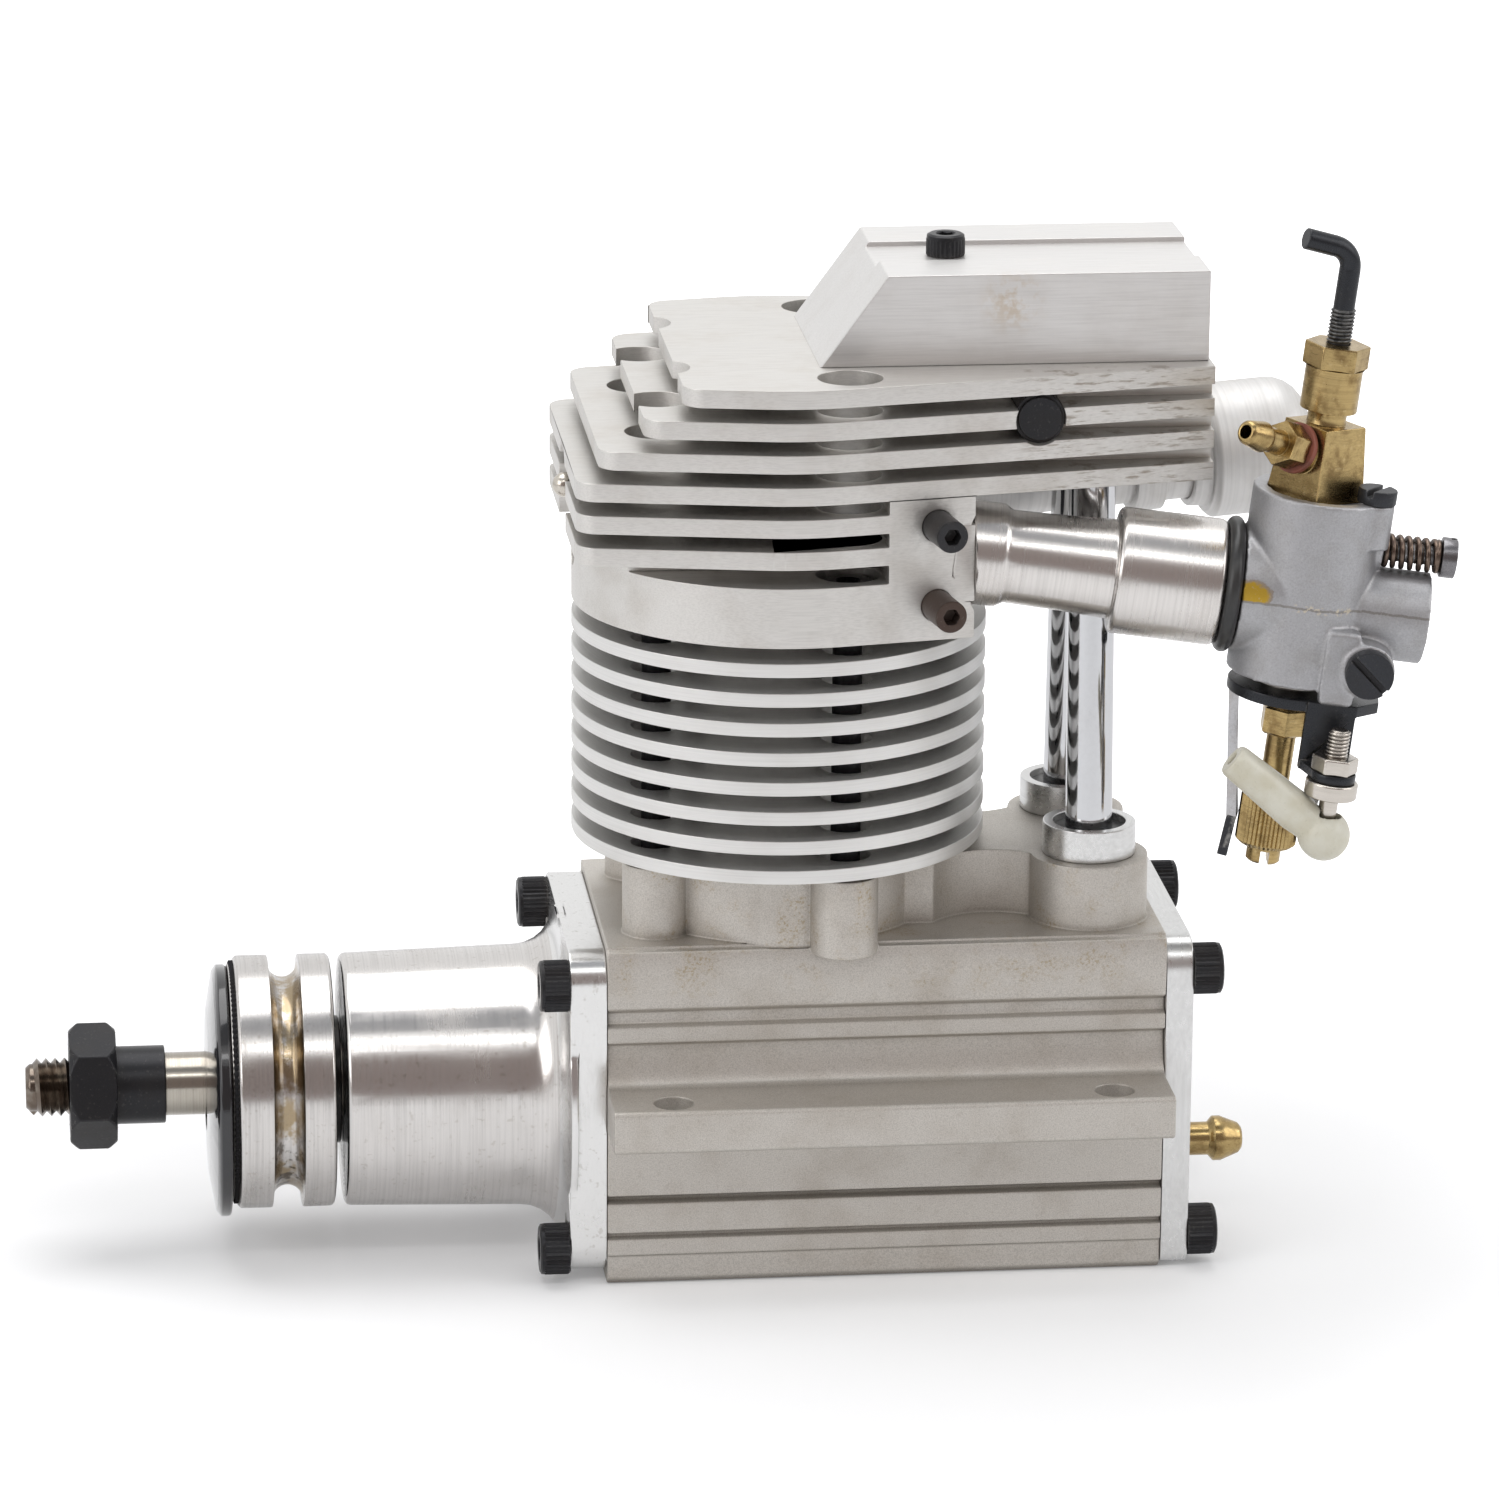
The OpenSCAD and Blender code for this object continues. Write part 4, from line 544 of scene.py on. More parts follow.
# Each finish's corner darkening below is painted shade as well as grime.
CASE = CaseMetal("cast case", (0.62, 0.59, 0.548), 0.52, 0.85, mark=0.16, depth=0.014, tone=0.45,
                 stained=0.22, stain=(0.33, 0.27, 0.2), shade_and_grime_weight=0.5, reach=2.0,
                 shade_and_grime=(0.09, 0.075, 0.055), specked=0.12, speck=(0.26, 0.21, 0.16),
                 speck_size=0.8)
PLATE = Metal("machined plate", (0.7, 0.7, 0.695), 0.3, lay=Lay.TURNED, place=SHAFT, mark=0.5,
              depth=0.003, stained=0.06, shade_and_grime_weight=0.35, reach=1.0)
COLLAR = replace(PLATE, name="machined collar", place=UPRIGHT, roughness=0.28)
NOSE = NoseMetal("turned nose", (0.66, 0.64, 0.625), 0.2, lay=Lay.TURNED, place=SHAFT, mark=0.32,
                 depth=0.003, tone=0.2, stained=0.12, shade_and_grime_weight=0.35, reach=1.0, specked=0.25,
                 speck=(0.28, 0.24, 0.19), speck_size=0.9)
DRIVER = GroovedMetal("turned driver", (0.63, 0.61, 0.595), 0.2, lay=Lay.TURNED, place=SHAFT,
                      mark=0.3, depth=0.004, tone=0.25, specked=0.3, speck=(0.26, 0.21, 0.16))
PIPE = Metal("polished pipe", (0.7, 0.675, 0.655), 0.23, lay=Lay.TURNED, place=INTAKE_PIPE,
             mark=0.4, depth=0.0025, tone=0.2, stained=0.15, stain=(0.36, 0.29, 0.23), reach=1.0)
EXHAUST = Metal("dull exhaust", (0.7, 0.69, 0.68), 0.5, 0.6, lay=Lay.TURNED, place=EXHAUST_PIPE,
                mark=0.5, depth=0.004, tone=0.15, stained=0.2)
FINS = Metal("turned fins", (0.74, 0.735, 0.72), 0.4, 0.85, lay=Lay.TURNED, mark=0.25,
             depth=0.002, tone=0.1, stained=0.06, shade_and_grime_weight=0.25, reach=1.6,
             shade_and_grime=(0.14, 0.115, 0.085))
HEAD = HeadMetal("milled head", (0.68, 0.665, 0.64), 0.42, 0.9, lay=Lay.BRUSHED,
                 place=LENGTHWISE, mark=0.18, depth=0.006, tone=0.16, stained=0.22,
                 stain=(0.33, 0.28, 0.22), shade_and_grime_weight=0.3, reach=1.6, shade_and_grime=(0.12, 0.1, 0.08))
COVER = CoverMetal("brushed cover", (0.74, 0.73, 0.72), 0.42, lay=Lay.BRUSHED, place=LENGTHWISE,
                   mark=0.22, depth=0.004, tone=0.12, stained=0.08, shade_and_grime_weight=0.3)
BLACK = Metal("black oxide", (0.025, 0.025, 0.028), 0.33, 0.5, mark=0.2, depth=0.006, tone=0.3,
              stained=0.2, stain=(0.05, 0.04, 0.03), shade_and_grime_weight=0.3, specked=0.14,
              speck=(0.16, 0.15, 0.14), speck_size=0.45, wear=0.35, gloss=0.3)
FACE = replace(BLACK, name="black serrations", roughness=0.7, specked=0.0, wear=0.0, gloss=0.1)
WASHER = replace(BLACK, name="black washer", roughness=0.1, specked=0.04, coat=0.7, wear=0.1,
                 gloss=0.5)
BROWNED = ScrewMetal("clamp screw steel", (0.035, 0.035, 0.038), 0.38, 0.6, mark=0.2,
                     depth=0.006, specked=0.25, speck=(0.2, 0.19, 0.18), wear=0.7, gloss=0.4)
BLUED = replace(BLACK, name="blued steel", colour=(0.04, 0.042, 0.048), roughness=0.4, wear=0.6)
ARM = replace(BLACK, name="blacked arm", colour=(0.024, 0.026, 0.031), roughness=0.28,
              specked=0.1, gloss=0.45)
STEEL = ShaftMetal("turned steel", (0.44, 0.41, 0.36), 0.16, lay=Lay.TURNED, place=SHAFT,
                   mark=0.25, depth=0.004, tone=0.25, stained=0.3, stain=(0.25, 0.2, 0.15))
PLAIN_STEEL = Metal("ground steel", (0.5, 0.48, 0.45), 0.3, mark=0.25, depth=0.004, stained=0.1)
STUD = Metal("nickelled steel", (0.6, 0.56, 0.51), 0.2, lay=Lay.TURNED, place=STUD_AXIS,
             mark=0.3, stained=0.35, stain=(0.33, 0.26, 0.19), shade_and_grime_weight=0.7)
SPRING = Metal("spring steel", (0.17, 0.125, 0.1), 0.3, mark=0.3, tone=0.4, specked=0.3,
               speck=(0.5, 0.42, 0.36), speck_size=0.4)
STOP = Metal("dark steel", (0.22, 0.215, 0.225), 0.28, mark=0.3, tone=0.4, stained=0.3,
             stain=(0.1, 0.08, 0.07), wear=0.6, worn=(0.6, 0.6, 0.6))
LEAF = Metal("strip spring", (0.5, 0.5, 0.52), 0.22, mark=0.4, tone=0.15, stained=0.3)
NICKEL = Metal("nickel plate", (0.6, 0.56, 0.5), 0.22, mark=0.3, tone=0.2, stained=0.4)
CHROME = Metal("chrome plate", (0.6, 0.605, 0.62), 0.07, mark=0.5, depth=0.0, tone=0.05,
               stained=0.05, shade_and_grime_weight=0.5, reach=1.5)
IRON = Metal("honed iron", (0.3, 0.3, 0.3), 0.4, 0.9, lay=Lay.TURNED, tone=0.2)
PISTON = Metal("piston alloy", (0.6, 0.59, 0.57), 0.35, lay=Lay.TURNED, tone=0.15)
CASTING = CastMetal("carburettor casting", (0.43, 0.43, 0.445), 0.46, 0.8, place=BARREL, mark=0.25,
                    depth=0.02, tone=0.25, stained=0.3, stain=(0.3, 0.285, 0.26), stain_size=4.0,
                    shade_and_grime_weight=0.45, specked=0.25, speck=(0.54, 0.54, 0.54), speck_size=0.7)
BRASS = Metal("worn brass", (0.46, 0.335, 0.15), 0.24, lay=Lay.TURNED, place=NEEDLE_AXIS, mark=0.3,
              depth=0.002, tone=0.3, stain=(0.14, 0.08, 0.03), stained=0.75, stain_size=2.6,
              shade_and_grime_weight=0.8, reach=1.0, shade_and_grime=(0.04, 0.02, 0.01), specked=0.3,
              speck=(0.62, 0.48, 0.26), speck_size=0.8)
NYLON = Soft("aged nylon", (0.66, 0.64, 0.55), (0.56, 0.52, 0.4), 0.3, 0.5, 0.01, 5.0)
FIBRE = Soft("red fibre", (0.24, 0.07, 0.045), (0.13, 0.045, 0.03), 0.6)
RUBBER = Soft("black rubber", (0.02, 0.02, 0.021), (0.035, 0.034, 0.033), 0.34)


# Modelling


class Bench:
    """Modelling steps that several pieces share, all by operators."""

    @staticmethod
    def only(piece: Piece) -> None:
        """Selects one piece alone and makes it active."""
        bpy.ops.object.select_all(action="DESELECT")
        piece.select_set(True)
        bpy.context.view_layer.objects.active = piece

    @staticmethod
    @contextmanager
    def editing(piece: Piece) -> Iterator[None]:
        """Edit mode on one piece alone, while the with block lasts."""
        Bench.only(piece)
        bpy.ops.object.mode_set(mode="EDIT")
        yield
        bpy.ops.object.mode_set(mode="OBJECT")

    @staticmethod
    def pick(piece: Piece, test: Callable[[Vector], bool]) -> None:
        """Selects, in edit mode, the vertices whose place passes the test."""
        mesh = bmesh.from_edit_mesh(piece.data)
        bpy.ops.mesh.select_mode(type="VERT")
        for vertex in mesh.verts:
            vertex.select_set(test(vertex.co / MM))
        mesh.select_flush_mode()
        bmesh.update_edit_mesh(piece.data)

    @staticmethod
    def close(piece: Piece) -> None:
        """Fills open ends and turns the faces outwards."""
        with Bench.editing(piece):
            bpy.ops.mesh.select_all(action="SELECT")
            bpy.ops.mesh.fill_holes(sides=0)
            bpy.ops.mesh.select_all(action="SELECT")
            bpy.ops.mesh.normals_make_consistent(inside=False)

    @staticmethod
    def apply(piece: Piece, kind: str, settings: dict) -> None:
        """Adds a modifier with these settings and applies it."""
        Bench.only(piece)
        bpy.ops.object.modifier_add(type=kind)
        modifier = piece.modifiers[-1]
        for key, setting in settings.items():
            setattr(modifier, key, setting)
        bpy.ops.object.modifier_apply(modifier=modifier.name)

    @staticmethod
    def turned(name: str, profile: Profile, sides: int = 64) -> Piece:
        """A solid of revolution about Z, extruded ring by ring from a disc.

        Args:
            name: the new piece's name.
            profile: height and radius of each ring, in millimetres.
            sides: facets round the axis.

        Returns:
            The piece, with its place in its mesh.
        """
        height, radius = profile[0]
        bpy.ops.object.select_all(action="DESELECT")
        bpy.ops.mesh.primitive_circle_add(vertices=sides, radius=radius * MM, fill_type="NGON",
                                          location=(0, 0, height * MM))
        piece = bpy.context.active_object
        piece.name = name
        with Bench.editing(piece):
            bpy.ops.mesh.select_mode(type="FACE")
            bpy.ops.mesh.select_all(action="SELECT")
            for next_height, next_radius in profile[1:]:
                lift = (0, 0, (next_height - height) * MM)
                bpy.ops.mesh.extrude_region_move(
                    TRANSFORM_OT_translate={"value": lift, "orient_type": "GLOBAL"})
                grow = next_radius / radius
                bpy.ops.transform.resize(value=(grow, grow, 1),
                                         center_override=(0, 0, next_height * MM))
                height, radius = next_height, next_radius
        Bench.set_down(piece)
        Bench.close(piece)
        return piece

    @staticmethod
    def knurl(piece: Piece, low: float, high: float, radius: float, sides: int,
              bite: float = 0.035) -> None:
        """Presses every other edge in, between two heights and outside a radius."""
        def every_other(at: Vector) -> bool:
            """Whether a point is on an edge that is pressed in."""
            turn = round(math.atan2(at.y, at.x) * sides / (2 * math.pi))
            return low <= at.z <= high and math.hypot(at.x, at.y) > radius and turn % 2 == 0

        with Bench.editing(piece):
            Bench.pick(piece, every_other)
            bpy.ops.transform.resize(value=(1 - bite, 1 - bite, 1), center_override=(0, 0, 0))

    @staticmethod
    def wound(name: str, radius: float, wire: float, pitch: float, turns: int, low: float,
              sides: int = 12, depth: float = 0.0) -> Piece:
        """A wire wound about Z, or a thread where depth is given.

        Args:
            name: the new piece's name.
            radius: the wire's distance from the axis.
            wire: the wire's radius, half the pitch for a thread.
            pitch: the rise of one turn.
            turns: how many turns.
            low: the height of the first turn.
            sides: facets round the wire.
            depth: for a thread, how far its crest stands out.

        Returns:
            The piece.
        """
        bpy.ops.object.select_all(action="DESELECT")
        bpy.ops.mesh.primitive_circle_add(vertices=sides, radius=wire * MM,
                                          location=(radius * MM, 0, low * MM),
                                          rotation=(math.pi / 2, 0, 0))
        piece = bpy.context.active_object
        piece.name = name
        if depth:
            bpy.ops.transform.resize(value=(depth / wire, 1, 1),
                                     center_override=(radius * MM, 0, low * MM))
        Bench.set_down(piece)
        Bench.apply(piece, "SCREW", {"axis": "Z", "screw_offset": pitch * MM,
                                     "iterations": turns, "steps": 32, "render_steps": 32})
        Bench.close(piece)
        return piece

    @staticmethod
    def block(name: str, centre: Triple, size: Triple) -> Piece:
        """A rectangular block, its centre and size in millimetres."""
        bpy.ops.object.select_all(action="DESELECT")
        bpy.ops.mesh.primitive_cube_add(size=1, location=[c * MM for c in centre])
        piece = bpy.context.active_object
        piece.name = name
        bpy.ops.transform.resize(value=[s * MM for s in size])
        return Bench.set_down(piece)

    @staticmethod
    def cut(piece: Piece, tool: Piece, operation: str = "DIFFERENCE") -> None:
        """Cuts a tool's shape out of the piece, or joins or keeps it, and removes the tool."""
        Bench.apply(piece, "BOOLEAN", {"operation": operation, "object": tool,
                                       "solver": "EXACT"})
        bpy.data.objects.remove(tool)

    @staticmethod
    def twin(piece: Piece, name: str) -> Piece:
        """A copy of a piece with its own mesh."""
        copy = piece.copy()
        copy.data = piece.data.copy()
        copy.name = name
        bpy.context.collection.objects.link(copy)
        return copy

    @staticmethod
    def shift(piece: Piece, test: Callable[[Vector], bool], by: Triple) -> None:
        """Moves the vertices that pass the test by so many millimetres."""
        with Bench.editing(piece):
            Bench.pick(piece, test)
            bpy.ops.transform.translate(value=[b * MM for b in by])

    @staticmethod
    def join(name: str, pieces: Sequence[Piece]) -> Piece:
        """One piece made of several."""
        Bench.only(pieces[0])
        for piece in pieces:
            piece.select_set(True)
        if len(pieces) > 1:
            bpy.ops.object.join()
        pieces[0].name = name
        return pieces[0]

    @staticmethod
    def set_down(piece: Piece, place: Optional[Place] = None) -> Piece:
        """Moves a piece from its own frame to a place, and puts the place into its mesh."""
        if place:
            piece.matrix_world = place.matrix() @ piece.matrix_world
        Bench.only(piece)
        bpy.ops.object.transform_apply(location=True, rotation=True, scale=True)
        return piece

    @staticmethod
    def repeat(name: str, pattern: Piece, places: Sequence[Place]) -> Piece:
        """Copies a piece to each place, joins the copies and removes the pattern."""
        copies = [Bench.set_down(Bench.twin(pattern, name), place) for place in places]
        bpy.data.objects.remove(pattern)
        return Bench.join(name, copies)

    @staticmethod
    def ease(piece: Piece, width: float, segments: int = 2, angle: float = 34.0) -> None:
        """Works off the edges sharper than the angle, to a width in millimetres."""
        Bench.apply(piece, "BEVEL", {"width": width * MM, "segments": segments,
                                     "limit_method": "ANGLE", "angle_limit": math.radians(angle),
                                     "use_clamp_overlap": False, "miter_outer": "MITER_ARC"})

    @staticmethod
    def round_corner(piece: Piece, test: Callable[[Vector], bool], radius: float) -> None:
        """Rounds the edge between the vertices that pass the test."""
        with Bench.editing(piece):
            Bench.pick(piece, test)
            bpy.ops.mesh.select_mode(type="EDGE")
            bpy.ops.mesh.bevel(offset=radius * MM, segments=8, affect="EDGES")

    @staticmethod
    def smooth(piece: Piece, angle: float = 32.0) -> None:
        """Shades smooth across edges flatter than the angle."""
        Bench.only(piece)
        bpy.ops.object.shade_smooth_by_angle(angle=math.radians(angle))
        Bench.apply(piece, "WEIGHTED_NORMAL", {"keep_sharp": True, "weight": 90})

    @staticmethod
    def merged(source: Piece, name: str) -> Piece:
        """A copy of a CAD node with its triangles merged and flat faces whole."""
        piece = Bench.twin(source, name)
        piece.parent = None
        piece.hide_render = piece.hide_viewport = False
        piece.matrix_world = source.matrix_world.copy()
        Bench.set_down(piece)
        Bench.clean(piece)
        return piece

    @staticmethod
    def clean(piece: Piece) -> None:
        """Merges double vertices and makes flat faces whole."""
        with Bench.editing(piece):
            bpy.ops.mesh.select_mode(type="VERT")
            bpy.ops.mesh.select_all(action="SELECT")
            bpy.ops.mesh.remove_doubles(threshold=2e-6)
            bpy.ops.mesh.dissolve_limited(angle_limit=math.radians(0.6))
            bpy.ops.mesh.customdata_custom_splitnormals_clear()


Finish = Union[Metal, Soft]


class Model:
    """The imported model, its bodies and slots, and the finishes made so far."""

    def __init__(self) -> None:
        """Loads the frame."""
        self.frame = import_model()
        self.nodes: dict[str, Piece] = self.frame["nodes"]
        parts = self.frame["record"]["subparts"]
        self.slots = {part["node"]: part["material_slot"] for part in parts}
        self.made: dict[str, bpy.types.Material] = {}
        self.undressed = set(self.nodes)

    def material(self, finish: Finish) -> bpy.types.Material:
        """The material of a finish, made once."""
        if finish.name not in self.made:
            self.made[finish.name] = finish.build()
        return self.made[finish.name]

    def coat(self, finish: Finish, *nodes: str) -> None:
        """Gives CAD nodes, whose shapes stay, a finish."""
        for node in nodes:
            piece = self.nodes[node]
            if not piece.material_slots:
                piece.data.materials.append(None)
            for slot in piece.material_slots:
                slot.material = self.material(finish)
            self.undressed.discard(node)
            LOG.info("%s: finish %s", node, finish.name)

    def put(self, piece: Piece, finish: Finish, node: str, stands: bool = True) -> Piece:
        """Adds a new piece to the model.

        Args:
            piece: the piece, in place.
            finish: its finish.
            node: the CAD node whose body it takes.
            stands: whether it is shown instead of that node.

        Returns:
            The piece.
        """
        piece.data.materials.clear()
        piece.data.materials.append(self.material(finish))
        body = self.nodes[node].parent.name.removeprefix("body:")
        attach(piece, body)
        if stands:
            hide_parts(node)
            self.coat(finish, node)
        LOG.info("%s: rides on %s, %d faces", piece.name, body, len(piece.data.polygons))
        return piece

    def round(self, node: str, finish: Finish, width: float, segments: int = 2,
              angle: float = 34.0, piece: Optional[Piece] = None) -> Piece:
        """Shows a node as its own shape with worked-off edges.

        Args:
            node: the CAD node.
            finish: its finish.
            width: the width of the worked-off edges, in millimetres.
            segments: facets across an edge.
            angle: how sharp an edge has to be.
            piece: a copy of the node that has been worked on already.

        Returns:
            The new piece.
        """
        piece = piece or self.copied(node)
        Bench.ease(piece, width, segments, angle)
        Bench.smooth(piece)
        return self.put(piece, finish, node)

    def copied(self, node: str) -> Piece:
        """A copy of a node to work on."""
        return Bench.merged(self.nodes[node], node + "_worked")

    def cast(self, node: str, finish: Finish, voxel: float, passes: int,
             piece: Optional[Piece] = None) -> Piece:
        """Shows a node as its own shape with every edge and corner run together, as cast."""
        piece = piece or self.copied(node)
        Bench.apply(piece, "REMESH", {"mode": "VOXEL", "voxel_size": voxel * MM})
        Bench.apply(piece, "SMOOTH", {"factor": 0.5, "iterations": passes})
        Bench.smooth(piece, 60)
        return self.put(piece, finish, node)


# Fasteners


@dataclass
class CapScrew:
    """A socket head cap screw with a knurled head, its seat at the local origin."""

    head_r: float = 3.5
    head_h: float = 4.0
    shank_r: float = 1.98
    length: float = 14.0
    socket: float = 3.4
    facets: int = 72

    def build(self, name: str) -> Piece:
        """Models the screw.

        Args:
            name: the pattern's name.

        Returns:
            The screw along local Z.
        """
        r, h = self.head_r, self.head_h
        piece = Bench.turned(name, [(-self.length, self.shank_r - 0.3),
                                    (-self.length + 0.4, self.shank_r), (0, self.shank_r),
                                    (0, r - 0.15), (0.2, r), (h - 0.75, r), (h - 0.6, r - 0.05),
                                    (h - 0.2, r - 0.1), (h, r - 0.45)], self.facets)
        Bench.knurl(piece, 0.1, h - 0.7, r - 0.12, self.facets, 0.05)
        key = self.socket / 2
        Bench.cut(piece, Bench.turned(name + "_hex", [(0.42 * h, key), (h + 1, key)], 6))
        mouth = Bench.turned(name + "_mouth", [(h - 0.25, key - 0.2), (h + 0.05, key + 0.15)], 24)
        Bench.cut(piece, mouth)
        Bench.smooth(piece, 24)
        return piece


# Sub-assemblies


@dataclass
class Crankcase:
    """The crankcase, its two end covers, their screws, the bearings and the breather."""

    model: Model
    half_pitch: float = 18.7
    axis_z: float = 23.4
    front_seat: float = -30.0
    rear_seat: float = 54.4
    edge: float = 0.3
    cover_t: float = 3.8
    cover_low: float = 0.6
    cover_corners: tuple[float, float] = (1.6, 4.4)
    hole_r: float = 2.1
    drill: float = 9.0
    screw_turn: float = 23.0
    breather: Triple = (-5.0, 12.8, 1.85)

    def rear_cover(self) -> None:
        """Models the rear cover, its lower corners all but square, and drills it."""
        solid = self.model.copied("rear_cover")
        half, high = (max(v.co[i] for v in solid.data.vertices) / MM for i in (1, 2))
        bpy.data.objects.remove(solid)
        low = self.cover_low
        piece = Bench.block("rear_cover_worked",
                            (self.rear_seat - self.cover_t / 2, 0, (low + high) / 2),
                            (self.cover_t, 2 * half, high - low))
        for side in (-1, 1):
            for level, radius in zip((low, high), self.cover_corners):
                Bench.round_corner(piece, lambda at: at.y * side > half - 0.01
                                   and abs(at.z - level) < 0.01, radius)
        Bench.ease(piece, self.edge)
        holes = [(y * self.half_pitch, self.axis_z + z * self.half_pitch, self.hole_r)
                 for y in (-1, 1) for z in (-1, 1)]
        for y, z, radius in (*holes, self.breather):
            drill = Bench.turned("drill", [(-self.drill, radius), (self.drill, radius)], 32)
            Bench.cut(piece, Bench.set_down(drill, Place((self.rear_seat, y, z), (0, 90, 0))))
        Bench.smooth(piece)
        self.model.put(piece, PLATE, "rear_cover")

    def screws(self) -> None:
        """Models the eight end-cover screws."""
        corners = [(y * self.half_pitch, self.axis_z + z * self.half_pitch)
                   for y in (-1, 1) for z in (-1, 1)]
        seats = [(self.front_seat, -90, corner) for corner in corners]
        seats += [(self.rear_seat, 90, corner) for corner in corners]
        places = [Place((x, *corner), (0, facing, 0)).inner(angles=(0, 0, self.screw_turn * i))
                  for i, (x, facing, corner) in enumerate(seats)]
        pattern = CapScrew().build("cover_screw")
        self.model.put(Bench.repeat("cover_screws_knurled", pattern, places), BLACK,
                       "crankcase_screws")

    def build(self) -> None:
        """Models and dresses the whole group."""
        self.model.round("crankcase", CASE, self.edge)
        self.model.round("front_housing", NOSE, 0.25)
        self.rear_cover()
        self.screws()
        self.model.round("breather_nipple", BRASS, 0.12)
        self.model.coat(PLAIN_STEEL, "main_bearings")


@dataclass
class PropellerDrive:
    """The crankshaft with its thread, the driver, the washer and the nut."""

    model: Model
    tip: float = -102.1
    nut_front: float = -96.6
    axis_z: float = 23.4
    pitch: float = 1.25
    thread_r: float = 4.0
    core_share: float = 0.81
    face: float = -74.8
    face_back: float = -74.05
    face_r: float = 16.6
    teeth: int = 240

    def thread(self) -> None:
        """Models the thread in front of the nut."""
        turns = int((self.nut_front - self.tip) / self.pitch) + 1
        depth = self.thread_r * (1 - self.core_share) - 0.05
        piece = Bench.wound("shaft_thread", self.thread_r - depth, self.pitch / 2, self.pitch,
                            turns, self.tip + self.pitch / 2, 4, depth)
        Bench.set_down(piece, SHAFT)
        Bench.smooth(piece, 20)
        self.model.put(piece, STEEL, "crankshaft", stands=False)

    def shaft(self) -> None:
        """Shows the crankshaft with its tip cut down to the thread's core."""
        def on_tip(at: Vector) -> bool:
            """Whether a point is on the tip's surface."""
            far = math.hypot(at.y, at.z - self.axis_z)
            return at.x < self.nut_front - 0.1 and far > 0.5

        piece = self.model.copied("crankshaft")
        with Bench.editing(piece):
            Bench.pick(piece, on_tip)
            share = self.core_share
            bpy.ops.transform.resize(value=(1, share, share),
                                     center_override=(0, 0, self.axis_z * MM))
        self.model.round("crankshaft", STEEL, 0.1, piece=piece)

    def serrated_face(self) -> None:
        """Models the blacked, serrated face that the propeller bears on."""
        piece = Bench.turned("driver_face", [(self.face, self.face_r - 0.5),
                                             (self.face + 0.2, self.face_r),
                                             (self.face_back, self.face_r)], self.teeth)
        Bench.knurl(piece, self.face - 1, self.face_back + 1, self.face_r - 0.6, self.teeth, 0.014)
        bore = Bench.turned("driver_face_bore", [(self.face - 1, 4.7), (self.face_back + 1, 4.7)])
        Bench.cut(piece, bore)
        Bench.set_down(piece, SHAFT)
        Bench.smooth(piece, 20)
        self.model.put(piece, FACE, "prop_driver", stands=False)

    def build(self) -> None:
        """Models and dresses the whole group."""
        self.shaft()
        self.thread()
        self.model.round("prop_driver", DRIVER, 0.18)
        self.serrated_face()
        self.model.round("prop_washer", WASHER, 0.15)
        self.model.round("prop_nut", BLACK, 0.22)
        self.model.coat(PLAIN_STEEL, "timing_shaft")


